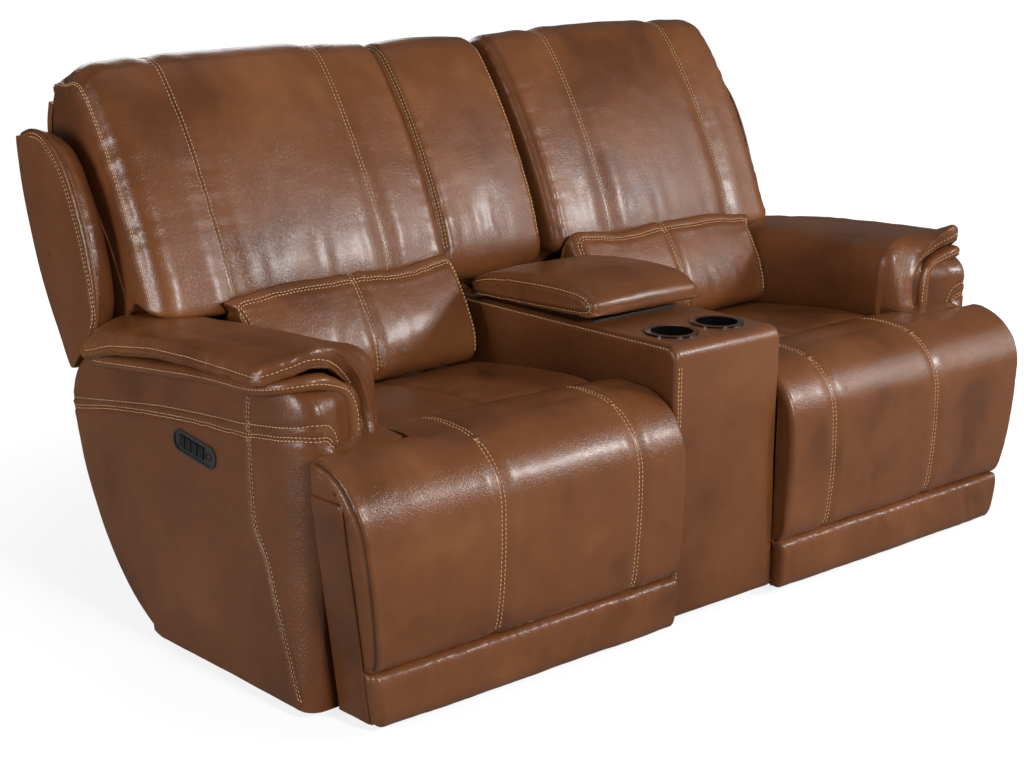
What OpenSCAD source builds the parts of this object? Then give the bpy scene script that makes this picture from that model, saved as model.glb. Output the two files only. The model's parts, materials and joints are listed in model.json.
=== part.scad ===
// Power reclining loveseat with a console between two seats.
// Millimetres. The origin is on the floor under the middle of the closed loveseat,
// +X to the right as seen from the front, +Z up, and the front faces -Y.

/* [Widths] */
// Width of the console between the seats
console_width = 310; // [290:5:380]
// Clear width of one seat, between the console and an arm
seat_width = 595; // [560:5:680]
// Width of one arm without its pad
arm_width = 220; // [200:5:250]
// How far the arm pad hangs over the arm's outer face
arm_pad_lip = 31; // [20:1:40]
// How much narrower the footrest's foot is than the arms, on one side
footrest_flare = 62; // [40:2:80]

/* [Heights] */
// Height of the glides under the rails and arms
glide_height = 17; // [12:1:25]
// Highest point of the seat cushion
seat_height = 505; // [490:5:530]
// Top of the arm's body, at its front
arm_height = 605; // [590:5:640]
// Top of the console
console_height = 584; // [570:2:600]
// Free space under the footrest
footrest_clearance = 11; // [8:1:16]
// Height of the padded band along the foot
band_height = 108; // [90:2:120]
// Thickness of the arm pad at its crown
arm_pad_height = 60; // [50:1:70]

/* [Depths] */
// Front face of the arms, behind the foot's front plane
arm_front = 114; // [112:1:120]
// Depth of an arm, front face to its rearmost point
arm_depth = 800; // [760:5:840]
// Length of the arm's straight bottom edge
arm_base_depth = 490; // [440:5:520]
// Depth of the console's box
console_depth = 690; // [670:5:710]
// Thickness of the footrest's padding in front of its board
footrest_padding = 50; // [40:1:60]

/* [Back] */
// Lean of the closed back from the vertical, in degrees
back_tilt = 29.5; // [27:0.5:30]
// Length of the back above its hinge
back_length = 825; // [790:5:850]
// Distance of the back cushion's face in front of the hinge line
back_reach = 186; // [176:1:196]
// Top of the lumbar cushion above the hinge
lumbar_top = 262; // [245:1:280]
// How far the wings run outboard of the upper cushion
wing_width = 72; // [60:1:80]

/* [Mechanism] */
// Thickness of the steel side plates
plate_thickness = 5; // [4:0.5:6]
// Travel of the footrest's carrier
carrier_travel = 200; // [160:5:205]
// Diameter of the footrest's hinge shaft
footrest_shaft_d = 16; // [12:1:18]
// Diameter of the back's hinge pins
back_pin_d = 16; // [12:1:20]
// Length of a link, pin to pin
link_length = 260; // [250:1:265]
// Steepness of the links when closed, in degrees
link_closed_angle = 75; // [74:0.5:78]
// Thickness of a link bar
link_thickness = 5; // [4:0.5:5.5]

/* [Console fittings] */
// Bore of a cup holder
cup_bore_d = 86; // [76:1:90]
// Depth of a cup holder
cup_depth = 62; // [40:1:80]
// Spacing of the two cup holders
cup_spacing = 133; // [124:1:140]
// Depth of the storage bin
bin_depth = 150; // [100:5:200]
// Length of the storage bin
bin_length = 330; // [280:5:345]

/* [Control panels] */
// Length of the oval control panel
panel_length = 142; // [138:1:160]
// Height of the oval control panel
panel_height = 44; // [40:1:50]
// Travel of a button
button_travel = 1.2; // [0.8:0.1:1.5]

/* [Hidden] */

$fn = 48;
gap = 0.3;
soft_gap = 2.5;
leather = "#8a5334";
steel = "#3a3c3f";
timber = "#c8a878";

// Distances along X, for the right-hand seat
con_half = console_width / 2;
arm_in = con_half + seat_width;
arm_out = arm_in + arm_width;
lane_mid = (con_half + arm_in) / 2;
cushion_in = con_half + soft_gap;
cushion_out = arm_in - soft_gap;
plate_x = con_half + 15;
carrier_x = plate_x + plate_thickness + 1;
carrier_thickness = 10;
rear_link_x = carrier_x + carrier_thickness + 2;
front_link_x = rear_link_x + link_thickness + 2;
wing_out = arm_out;
upper_out = wing_out - wing_width;

// Heights of the mechanism
hinge_z = seat_height - 165;
pivot_z = seat_height - 105;
spring_z = seat_height - 120;
carrier_top = spring_z - 11;
carrier_height = 28;
carrier_bottom = carrier_top - carrier_height;
link_z = carrier_bottom - 16;
rail_size = 40;
rail_top = glide_height + rail_size;

// Places along the depth, measured back from the foot's front plane
pivot_y = 60;
hinge_y = 700;
front_rail_y = 300;
rear_rail_y = 664;
seat_front = pivot_y - 4;
seat_rear = 600;
seat_rail_y = [150, 556];
board_front = 15;
board_thickness = 18;
board_rear = board_front + board_thickness;
link_y = 260;
carrier_rear = seat_rail_y[0] + 80 + carrier_travel;
pad_front = board_front - footrest_padding;
arm_rear = arm_front + arm_depth;
// The back's lines are drawn at this length and stretch with the chosen one
drawn_back = 825;
back_share = back_length / drawn_back;
function up_back(line) = [for (q = line) [q[0], q[1] * back_share]];
shell_tip = [32, 725 * back_share];
rear_most = hinge_y + shell_tip[0] * cos(back_tilt) + shell_tip[1] * sin(back_tilt);
y_mid = (pad_front + rear_most) / 2;

// Outer line of the back's shell in the back's own frame: [behind the hinge line, above it]
rear_line = up_back([[96, 60], [99, 250], [104, 370], [102, 472], [78, 598], [52, 672]]);
shell_line = concat(rear_line, [shell_tip]);
wing_line = up_back([[-57, 690], [-96, 650], [-111, 600], [-111, 500], [-90, 382], [-52, 302], [20, 268]]);
panel_line = concat(rear_line, [[24, back_length - 90], [-8, back_length - 53]]);
shell_thickness = 18;
frame_front = -38;
frame_thickness = 26;
frame_top = back_length - 78;

// Small helpers
module on_side(s) {
  if (s < 0) mirror([1, 0, 0]) children();
  else children();
}
module placed() {
  translate([0, -y_mid, 0]) children();
}
module seat_part(s) {
  placed() on_side(s) children();
}
// Extrudes an outline in the YZ plane along X, from x0 to x1
module along_x(x0, x1) {
  translate([x0, 0, 0]) rotate([90, 0, 90]) linear_extrude(height = x1 - x0) children();
}
// Draws its children twice, mirrored about the middle of the seat
module both_sides() {
  children();
  translate([2 * lane_mid, 0, 0]) mirror([1, 0, 0]) children();
}
module block(x0, x1, y0, y1, z0, z1) {
  translate([x0, y0, z0]) cube([x1 - x0, y1 - y0, z1 - z0]);
}
module rod(x0, x1, y, z, d) {
  translate([x0, y, z]) rotate([0, 90, 0]) cylinder(h = x1 - x0, d = d);
}
// Puts the back's own frame at its hinge: first number behind the hinge line, second up the back
module on_back() {
  translate([0, hinge_y, hinge_z]) rotate([-back_tilt, 0, 0]) children();
}
// The same place as a point in the YZ plane
function off_back(v, u) = [hinge_y + v * cos(back_tilt) + u * sin(back_tilt),
  hinge_z - v * sin(back_tilt) + u * cos(back_tilt)];
// A rectangle with round corners in plan or side view
module round_rect(x0, x1, y0, y1, r) {
  translate([x0 + r, y0]) square([x1 - x0 - 2 * r, y1 - y0]);
  translate([x0, y0 + r]) square([x1 - x0, y1 - y0 - 2 * r]);
  for (x = [x0 + r, x1 - r], y = [y0 + r, y1 - r]) translate([x, y]) circle(r = r);
}
module stadium(length, height) {
  square([length - height, height], center = true);
  for (x = [-1, 1]) translate([x * (length - height) / 2, 0]) circle(d = height);
}
function bezier(a, b, c, d, n, skip = 0) = [for (i = [skip:n]) let (t = i / n, u = 1 - t)
  u * u * u * a + 3 * u * u * t * b + 3 * u * t * t * c + t * t * t * d];
function arc(c, r, a0, a1, n) = [for (i = [0:n]) let (a = a0 + (a1 - a0) * i / n)
  [c[0] + r * cos(a), c[1] + r * sin(a)]];

// Soft forms are skins over rings of points. Each ring is an outline moved inwards
// along its own normals: at the ends by a rounding, and all over by the crown and the seams.
function unit(v) = v / max(norm(v), 0.001);
function normal_at(p, i) = let (n = len(p), t = unit(p[(i + 1) % n] - p[(i + n - 1) % n]))
  [t[1], -t[0]];
function rounding(e, r) = e >= r ? 0 : r - sqrt(max(0, r * r - (r - e) * (r - e)));
function seam_dip(x, seams, depth) = len(seams) == 0 ? 0 :
  depth * max([for (s = seams) max(0, 1 - abs(x - s) / 22)]);
function inset(x, x0, x1, r, crown, seams, dip) = let (t = (2 * x - x0 - x1) / (x1 - x0))
  rounding(min(x - x0, x1 - x), r) + crown * t * t + seam_dip(x, seams, dip);
function move_in(p, w, d) = [for (i = [0:len(p) - 1]) p[i] - d * w[i] * normal_at(p, i)];
function stations(x0, x1, r, seams, n) = let (
  ends = [for (a = [0, 25, 48, 68, 84]) r * (1 - cos(a))],
  plain = [for (i = [0:n]) x0 + r + (x1 - x0 - 2 * r) * i / n],
  near = [for (p = plain) if (len(seams) == 0 || min([for (s = seams) abs(s - p)]) > 24) p],
  dips = [for (s = seams, k = [-22, 0, 22]) s + k])
  sorted(concat([for (e = ends) x0 + e], [for (e = ends) x1 - e], near, dips));
function sorted(v) = len(v) < 2 ? v : let (p = v[floor(len(v) / 2)])
  concat(sorted([for (x = v) if (x < p) x]), [p], sorted([for (x = v) if (x > p) x]));
function ring_faces(rows, n) = [for (i = [0:rows - 2], j = [0:n - 1]) let (a = i * n + j,
  b = i * n + (j + 1) % n, c = b + n, d = a + n) each [[a, c, b], [a, d, c]]];
function cap_faces(first, n, turn) = [for (j = [1:n - 2]) turn ?
  [first, first + j + 1, first + j] : [first, first + j, first + j + 1]];
function reversed(v) = [for (i = [len(v) - 1:-1:0]) v[i]];
module skin(rings) {
  n = len(rings[0]);
  rows = len(rings);
  polyhedron(points = [for (r = rings) each r],
    faces = concat(ring_faces(rows, n), cap_faces(0, n, false), cap_faces((rows - 1) * n, n, true)),
    convexity = 6);
}
// A cushion from x0 to x1 with the outline p in the YZ plane and a weight for each point
module cushion(x0, x1, p, w, r, crown, seams = [], dip = 0, n = 6) {
  skin([for (x = stations(x0, x1, r, seams, n))
    let (q = move_in(p, w, inset(x, x0, x1, r, crown, seams, dip))) [for (c = q) [x, c[0], c[1]]]]);
}

// Base: two cross rails on each side of the console, on glides
module base_rails() {
  color(steel) placed() for (s = [-1, 1]) on_side(s) for (y = [front_rail_y, rear_rail_y])
    difference() {
      block(con_half, arm_in, y, y + rail_size, glide_height, rail_top);
      block(con_half - 1, arm_in + 1, y + 3, y + rail_size - 3, glide_height + 3, rail_top - 3);
    }
}
module glides() {
  places = [[con_half + 45, front_rail_y + rail_size / 2], [arm_in - 45, front_rail_y + rail_size / 2],
    [con_half + 45, rear_rail_y + rail_size / 2], [arm_in - 45, rear_rail_y + rail_size / 2],
    [arm_in + arm_width / 2, arm_front + 60], [arm_in + arm_width / 2, arm_front + arm_base_depth - 40]];
  color("#1c1c1c") placed() for (s = [-1, 1]) on_side(s) for (p = places)
    translate([p[0], p[1], 0]) {
      cylinder(h = glide_height - 5, d1 = 36, d2 = 40);
      translate([0, 0, glide_height - 5]) cylinder(h = 5, d = 44);
    }
}

// Arm: outline of the body, grown or shrunk by moving its points inwards
arm_corner = 45;
arm_slope = 43;
function arm_top_at(y) = let (y0 = arm_front + arm_corner, z0 = arm_height) y < y0 ?
  z0 - arm_corner + sqrt(max(0, arm_corner * arm_corner - (y0 - y) * (y0 - y))) :
  z0 - arm_slope * (y - y0) / (arm_rear - 103 - y0);
function arm_outline(d) = let (
  base = glide_height + d,
  rear = arm_rear - d,
  foot = arm_front + arm_base_depth,
  top_rear = [arm_rear - 103 - d * 0.5, arm_height - arm_slope - d * 0.9])
  concat([[arm_front + d, base]],
    bezier([foot, base], [foot + 100, base + 13], [rear - 34, arm_height - 395],
      [rear, arm_height - 175], 12),
    bezier([rear, arm_height - 175], [rear + 2, arm_height - 105], [rear - 44, arm_height - 60 - d * 0.5],
      top_rear, 8, 1),
    arc([arm_front + arm_corner, arm_height - arm_corner], arm_corner - d, 90, 180, 10));
module arm_solid(d) {
  intersection() {
    along_x(arm_in + d, arm_out - d) polygon(arm_outline(d));
    linear_extrude(height = 1000) round_rect(arm_in + d, arm_out - d, arm_front + d, arm_rear + 50, 34 - d);
  }
}
panel_y = 459;
panel_z = 438;
panel_slant = 7;
module at_panel(out) {
  translate([arm_out + out, panel_y, panel_z]) rotate([panel_slant, 0, 0]) rotate([90, 0, 90]) children();
}
arm_wall = 20;
module arm_cover(s) {
  color(leather) seat_part(s) difference() {
    arm_solid(0);
    difference() {
      arm_solid(arm_wall);
      block(arm_in, arm_out, arm_front, arm_rear, 0, glide_height + arm_wall);
    }
    block(arm_in + arm_wall, arm_out - arm_wall, arm_front + arm_wall + 34,
      arm_front + arm_base_depth, glide_height - 1, glide_height + arm_wall + 1);
    at_panel(-arm_wall - 1) linear_extrude(height = arm_wall + 2)
      stadium(panel_length - 11, panel_height - 11);
  }
}
// Arm frame: a front post, a rear post, a top rail and a sill inside the cover
module arm_frame(s) {
  x0 = arm_in + arm_wall + gap;
  x1 = x0 + 40;
  y0 = arm_front + arm_wall + 34;
  y1 = arm_front + arm_base_depth - gap;
  top = arm_height - arm_slope - 2 * arm_wall;
  color(timber) seat_part(s) {
    block(x0, x1, y0, y0 + 45, glide_height, top);
    block(x0, x1, y1 - 45, y1, glide_height, top);
    block(x0, x1, (y0 + y1 - 45) / 2, (y0 + y1 + 45) / 2, glide_height, top);
    block(x0, x1, y0 + 45, y1 - 45, top - 60, top);
    block(x0, x1, y0 + 45, y1 - 45, glide_height, glide_height + 70);
    block(x1, arm_out - arm_wall - gap, y0, y0 + 45, glide_height, glide_height + 40);
    block(x1, arm_out - arm_wall - gap, y1 - 45, y1, glide_height, glide_height + 40);
  }
}
// Arm pad: stations along the depth, each with its bottom and its crown
pad_n = 20;
function pad_ring(y, low, high, width_cut) = let (
  x0 = arm_in - 3 + width_cut, x1 = arm_out + arm_pad_lip - width_cut,
  xc = (x0 + x1) / 2, half = (x1 - x0) / 2, rise = (high - low))
  [for (i = [0:pad_n - 1]) let (a = 360 * i / pad_n - 90, c = cos(a), q = sin(a))
    [xc + half * sign(c) * pow(abs(c), 0.62), y,
     low + rise * (q < 0 ? 0.42 - 0.42 * pow(-q, 0.5) : 0.42 + 0.58 * pow(q, 0.8))]];
module arm_pad(s) {
  lip = arm_front - gap;
  c = arm_corner;
  top = arm_height + arm_pad_height;
  hang = arm_height - c + 1;
  y1 = arm_rear - 103;
  // [y, bottom, crown, how far the sides are drawn in]
  rows = concat(
    [[lip - 20, hang + 16, top - 38, 26], [lip - 16, hang + 6, top - 26, 12], [lip - 9, hang, top - 16, 4],
     [lip, hang, top - 8, 0]],
    [for (k = [12, 24, 38, 54, 72, 90]) let (y = lip + gap + c * (1 - cos(k)))
      [y, arm_height - c + c * sin(k) + 0.8, top - 8 + 8 * sin(k), 0]],
    [for (t = [0.18, 0.4, 0.62, 0.8, 0.92]) let (y = lip + gap + c + (y1 - lip - c) * t)
      [y, arm_top_at(y) + gap, arm_top_at(y) + arm_pad_height - 26 * t * t, 0]],
    [for (k = [[16, 4, 8], [6, 14, 16], [1, 28, 30]]) let (y = y1 - k[0])
      [y, arm_top_at(y) + gap, arm_top_at(y) + 34 - k[1], k[2]]]);
  color(leather) seat_part(s) skin([for (r = rows) reversed(pad_ring(r[0], r[1], r[2], r[3]))]);
}

// Console: a hollow upholstered box on a timber frame
console_front = 9;
console_wall = 18;
console_floor = 21;
console_rear = console_front + console_depth;
cup_y = 108;
cup_flange_d = cup_bore_d + 24;
bin_y = 285;
bin_half = con_half - 45;
module console_cover() {
  color(leather) placed() difference() {
    along_x(-con_half, con_half)
      round_rect(console_front, console_rear, console_floor, console_height, 22);
    block(-con_half + console_wall, con_half - console_wall, console_front + console_wall,
      console_rear - console_wall, console_floor - 1, console_height - console_wall);
    for (s = [-1, 1]) translate([s * cup_spacing / 2, cup_y, console_height - console_wall - 1])
      cylinder(h = console_wall + 2, d = cup_bore_d + 6.6);
    block(-bin_half, bin_half, bin_y, bin_y + bin_length,
      console_height - console_wall - 1, console_height + 1);
  }
}
module console_frame() {
  w = con_half - console_wall - gap;
  z1 = console_height - console_wall - gap;
  bin_floor = console_height - bin_depth - gap;
  color(timber) placed() for (s = [-1, 1]) on_side(s) {
    block(w - 15, w, console_front + console_wall + gap, console_rear - console_wall - gap,
      console_floor, z1);
    block(0, w - 15, 220, 238, console_floor, console_floor + 120);
    block(0, w - 15, console_rear - console_wall - 18 - gap, console_rear - console_wall - gap,
      console_floor, console_floor + 120);
    // The two cross bars that carry the bin's floor
    block(0, w - 15, 320, 350, bin_floor - 30, bin_floor);
    block(0, w - 15, 550, 580, bin_floor - 30, bin_floor);
  }
}
module console_bin() {
  w = bin_half - 1;
  wall = 3;
  color("#1e1e1f") placed() difference() {
    union() {
      block(-w, w, bin_y + 1, bin_y + bin_length - 1, console_height - bin_depth, console_height);
      block(-w - 10, w + 10, bin_y - 9, bin_y + bin_length + 9, console_height, console_height + 3);
    }
    block(-w + wall, w - wall, bin_y + 1 + wall, bin_y + bin_length - 1 - wall,
      console_height - bin_depth + wall, console_height + 4);
  }
}
module cup_holders() {
  color("#101011") placed() for (s = [-1, 1]) translate([s * cup_spacing / 2, cup_y, console_height])
    difference() {
      union() {
        translate([0, 0, -cup_depth]) cylinder(h = cup_depth, d = cup_bore_d + 6);
        cylinder(h = 4, d = cup_flange_d);
      }
      translate([0, 0, 3 - cup_depth]) cylinder(h = cup_depth + 4, d = cup_bore_d);
    }
}
// The fixed back above the console
function back_face(reach, low, high) = concat(
  [[frame_front - gap, low]],
  bezier([frame_front - gap, high - 46], [frame_front + 4, high + 10], [-reach + 40, high + 12],
    [-reach + 8, high - 58], 7),
  bezier([-reach + 8, high - 58], [-reach - 16, high - 190], [-reach - 12, low + 150],
    [-reach + 8, low + 26], 7, 1),
  [[-reach + 26, low + 6], [-reach + 50, low]]);
module back_pad(x0, x1, reach, low, high, seams, n, step_x = 10000, lift = 0) {
  p = back_face(reach, low, high);
  w = [for (q = p) q[0] > frame_front - 1 && q[1] < high - 30 ? 0 : 1];
  xs = stations(x0, x1, 34, seams, n);
  all_x = step_x > x1 ? xs :
    sorted(concat([for (x = xs) if (abs(x - step_x) > 6) x], [step_x - 1, step_x]));
  on_back() skin([for (x = all_x) let (q = move_in(p, w, inset(x, x0, x1, 34, 10, seams, 5)))
    [for (c = q) [x, c[0], c[1] + (x < step_x ? 0 : lift * max(0, 1 - (c[1] - low) / 180))]]]);
}
console_back_low = 236;
console_frame_low = console_back_low + 20;
module console_back_cushion() {
  color(leather) placed() back_pad(-con_half + 1, con_half - 1, back_reach - 20,
    console_back_low + 32, back_length, [], 4);
}
module console_back_frame() {
  color(timber) placed() {
    on_back() {
      along_x(-con_half + 25, con_half - 25)
        polygon([[frame_front, console_frame_low + 14], [frame_front + frame_thickness, console_frame_low],
          [frame_front + frame_thickness, frame_top], [frame_front, frame_top]]);
      along_x(-con_half + 6, con_half - 6) shell_strip(panel_line);
      spacers(0, 4);
    }
    // Two struts that stand off the console's rear
    y = console_rear + gap;
    top = console_frame_low + 44;
    for (s = [-1, 1]) on_side(s) along_x(60, 90)
      polygon([[y, console_height - 154], off_back(-14, console_frame_low), off_back(-14, top),
        off_back(-36, top), off_back(frame_front, console_frame_low + 10), [y, console_height - 24]]);
  }
}
// A strip that follows the back's outer line, one shell thick
module shell_strip(line) {
  inner = [for (q = reversed(line)) q - [shell_thickness, q[1] > back_length - 100 ? 6 : 0]];
  polygon(concat(line, inner));
}
// Two blocks that hold the shell's panel off the frame, and reach into it where they are one piece
function panel_at(u) = lookup(u, [for (q = panel_line) [q[1], q[0]]]);
module spacers(x, into) {
  for (u = [410, 590] * back_share) let (rear = min(panel_at(u), panel_at(u + 30)) - shell_thickness)
    block(x - 20, x + 20, frame_front + frame_thickness, rear + into, u, u + 30);
}

// Lid: a board with a pad on a pin hinge at its rear, a finger's width open in front
lid_pin_y = 640;
lid_pin_z = console_height + 8;
lid_pin_d = 6;
lid_slope = 2;
lid_board_z = 5;
lid_front = 246;
lid_half = con_half - 8;
module on_lid() {
  translate([0, lid_pin_y, lid_pin_z]) rotate([-lid_slope, 0, 0]) children();
}
module lid_hinge_base() {
  color(steel) placed() {
    rod(-90, 90, lid_pin_y, lid_pin_z, lid_pin_d);
    block(-90, 90, lid_pin_y - 14, lid_pin_y + 14, console_height, console_height + 2);
    for (x = [-90, -10, 70]) difference() {
      block(x, x + 20, lid_pin_y - 6, lid_pin_y + 6, console_height + 2, lid_pin_z + 5);
      rod(x - 1, x + 21, lid_pin_y, lid_pin_z, lid_pin_d);
    }
  }
}
module lid_hinge_leaf() {
  color(steel) placed() on_lid() for (x = [-69, 11]) difference() {
    union() {
      rod(x, x + 58, 0, 0, lid_pin_d + 5);
      block(x, x + 58, -44, 0, 3, lid_board_z);
    }
    rod(x - 1, x + 59, 0, 0, lid_pin_d + 0.1);
  }
}
module lid_board() {
  color(timber) placed() on_lid() block(-lid_half + 16, lid_half - 16,
    lid_front - lid_pin_y + 14, -13, lid_board_z, lid_board_z + 8);
}
module lid_pad() {
  y0 = lid_front - lid_pin_y;
  z0 = lid_board_z + 8 + gap;
  p = concat([[-12, z0]], arc([-28, z0 + 12], 14, 20, 80, 2),
    [[-110, z0 + 33], [-220, z0 + 38], [-330, z0 + 37]], arc([y0 + 20, z0 + 15], 18, 100, 190, 4),
    [[y0 + 8, z0]]);
  w = [for (q = p) q[1] < z0 + 1 ? 0 : 1];
  color(leather) placed() on_lid() cushion(-lid_half, lid_half, p, w, 14, 5, [], 0, 5);
}

// Control panel on the outer face of each arm, four buttons and a charging port
button_size = 18;
button_pitch = 21;
function button_u(k) = panel_length / 2 - 30 - button_pitch * (k - 1);
port_u = button_u(4) - 24;
module control_panel(s) {
  color("#6d7075") seat_part(s) difference() {
    union() {
      at_panel(-arm_wall - 6) linear_extrude(height = arm_wall + 6)
        stadium(panel_length - 12, panel_height - 12);
      at_panel(0) linear_extrude(height = 4) stadium(panel_length, panel_height);
    }
    at_panel(2) linear_extrude(height = 3) stadium(panel_length - 8, panel_height - 8);
    for (k = [1:4]) at_panel(-8) translate([button_u(k), 0]) linear_extrude(height = 12)
      square([button_size + 0.6, button_size + 6.6], center = true);
    at_panel(-16) translate([port_u, 0]) linear_extrude(height = 20) stadium(22.6, 14.6);
  }
}
module button(s, k) {
  color("#1b1b1d") seat_part(s) at_panel(-8 + button_travel + 0.3) translate([button_u(k), 0])
    linear_extrude(height = 10.7) square([button_size, button_size + 6], center = true);
}
module usb_ports() {
  color("#111113") for (s = [-1, 1]) seat_part(s) difference() {
    at_panel(-16) translate([port_u, 0]) linear_extrude(height = 18.4) stadium(22, 14);
    at_panel(-6) translate([port_u, 0]) linear_extrude(height = 10) square([13, 6], center = true);
  }
}

// Power supply on the rear rail beside the console, with its inlet at the back
supply_x = con_half + 90;
module power_supply() {
  y0 = rear_rail_y - 15;
  color("#202124") placed() difference() {
    block(supply_x, supply_x + 130, y0, y0 + 62, rail_top, rail_top + 38);
    block(supply_x + 22, supply_x + 44, y0 + 48, y0 + 63, rail_top + 10, rail_top + 26);
  }
}

// Bolts through the side plates into the seat rails, and lag bolts through the plates' feet
bolt_d = 10;
module frame_bolts() {
  color("#9a9da1") for (s = [-1, 1]) seat_part(s) both_sides()
    for (p = [[seat_rail_y[0] + 19, spring_z - 66], [seat_rail_y[1] + 19, spring_z - 48]])
      rod(plate_x - 5, plate_x + 40, p[0], p[1], bolt_d);
}

// Seat: timber rails between the plates, sinuous springs over them, the cushion on top
module seat_rails() {
  x0 = plate_x + plate_thickness;
  x1 = 2 * lane_mid - x0;
  color(timber) for (s = [-1, 1]) seat_part(s) difference() {
    union() {
      block(x0, x1, seat_rail_y[0], seat_rail_y[0] + 38, spring_z - 85, carrier_bottom - 8);
      block(front_link_x + link_thickness + 4, 2 * lane_mid - front_link_x - link_thickness - 4,
        seat_rail_y[0], seat_rail_y[0] + 38, carrier_bottom - 8, spring_z);
      block(x0, x1, seat_rail_y[1], seat_rail_y[1] + 38, spring_z - 85, spring_z);
    }
    both_sides() for (p = [[seat_rail_y[0] + 19, spring_z - 66], [seat_rail_y[1] + 19, spring_z - 48]])
      rod(x0 - 1, plate_x + 41, p[0], p[1], bolt_d);
  }
}
spring_count = 5;
module seat_springs() {
  wire = 4;
  y0 = seat_rail_y[0] + 8;
  y1 = seat_rail_y[1] + 30;
  turns = 14;
  pitch = (y1 - y0) / turns;
  room = 2 * (lane_mid - front_link_x) - 40;
  color("#77797c") for (s = [-1, 1]) seat_part(s) for (k = [0:spring_count - 1])
    translate([lane_mid + room * (k - (spring_count - 1) / 2) / spring_count, 0, spring_z])
      linear_extrude(height = wire) {
        for (i = [0:turns]) translate([-20, y0 + i * pitch]) square([40, wire]);
        for (i = [0:turns - 1]) translate([i % 2 == 0 ? 20 - wire : -20, y0 + i * pitch])
          square([wire, pitch + wire]);
      }
}
seat_seam = 175;
module seat_cushion(s) {
  z0 = spring_z + 4 + gap;
  top = seat_height;
  p = concat([[seat_front + 74, z0], [seat_rear, z0], [seat_rear, top - 62]],
    [[seat_rear - 22, top - 44], [seat_rear - 90, top - 30], [350, top - 12], [220, top - 3],
     [130, top], [92, top - 4], [70, top - 14], [seat_front + 2, top - 34],
     [seat_front, pivot_z + 22], [seat_front + 30, pivot_z + 22]]);
  w = [for (q = p) q[1] < z0 + 1 ? 0 : 1];
  color(leather) seat_part(s) cushion(cushion_in, cushion_out, p, w, 14, 4,
    [lane_mid - seat_seam, lane_mid + seat_seam], 4, 6);
}

// Side plates of the mechanism with the runners for the carrier and the seats of the back's pins
module side_plates(s) {
  x0 = plate_x;
  x1 = plate_x + plate_thickness;
  runner_x = carrier_x + carrier_thickness + 0.5;
  color(steel) seat_part(s) both_sides() {
    difference() {
      along_x(x0, x1) difference() {
        union() {
          polygon([[front_rail_y - 10, rail_top], [rear_rail_y + rail_size + 8, rail_top],
            [rear_rail_y + rail_size + 20, hinge_z - 60], [hinge_y + 24, hinge_z],
            [hinge_y, hinge_z + 24], [600, carrier_top + 6], [seat_rail_y[0], carrier_top + 6],
            [seat_rail_y[0], spring_z - 95], [link_y - 20, spring_z - 110]]);
          translate([hinge_y, hinge_z]) circle(r = 24);
        }
        translate([480, 190]) circle(r = 60);
        translate([620, 200]) circle(r = 36);
      }
      for (p = [[seat_rail_y[0] + 19, spring_z - 66], [seat_rail_y[1] + 19, spring_z - 48]])
        rod(x0 - 1, x1 + 1, p[0], p[1], bolt_d);
    }
    for (z = [[carrier_top + gap, carrier_top + 6], [carrier_bottom - 6, carrier_bottom - gap]])
      block(x1, runner_x, seat_rail_y[0], 470, z[0], z[1]);
    // Pins for the rear link and for the back
    rod(x1, rear_link_x + link_thickness, link_y, link_z, link_pin_d);
    rod(x1, x1 + 16, hinge_y, hinge_z, back_pin_d);
    block(x0 - 10, x0, rear_rail_y, rear_rail_y + rail_size, rail_top, rail_top + 4);
    block(x0 - 10, x0, front_rail_y, front_rail_y + rail_size, rail_top, rail_top + 4);
  }
}

// Drive motors: two in each seat, the left one for the footrest and the right one for the back
drive_z = spring_z - 80;
foot_drive_x = lane_mid - 70;
back_drive_x = lane_mid + 70;
lug_x = back_drive_x + 48;
lug_drop = 60;
lug_play = 1.4;
drive_pin_d = 8;
module drive_body(x) {
  // A motor block, a gearbox and a square guide between the front and rear seat rails
  block(x - 15, x + 15, seat_rail_y[0] + 38, 520, drive_z - 15, drive_z + 15);
  block(x - 26, x + 26, 520, seat_rail_y[1], drive_z - 30, drive_z + 30);
  translate([x, 540, drive_z - 110]) cylinder(h = 80, d = 34);
}
module drive_motors() {
  color("#2a2b2e") for (s = [-1, 1]) seat_part(s) {
    drive_body(foot_drive_x);
    drive_body(back_drive_x);
  }
}

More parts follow.
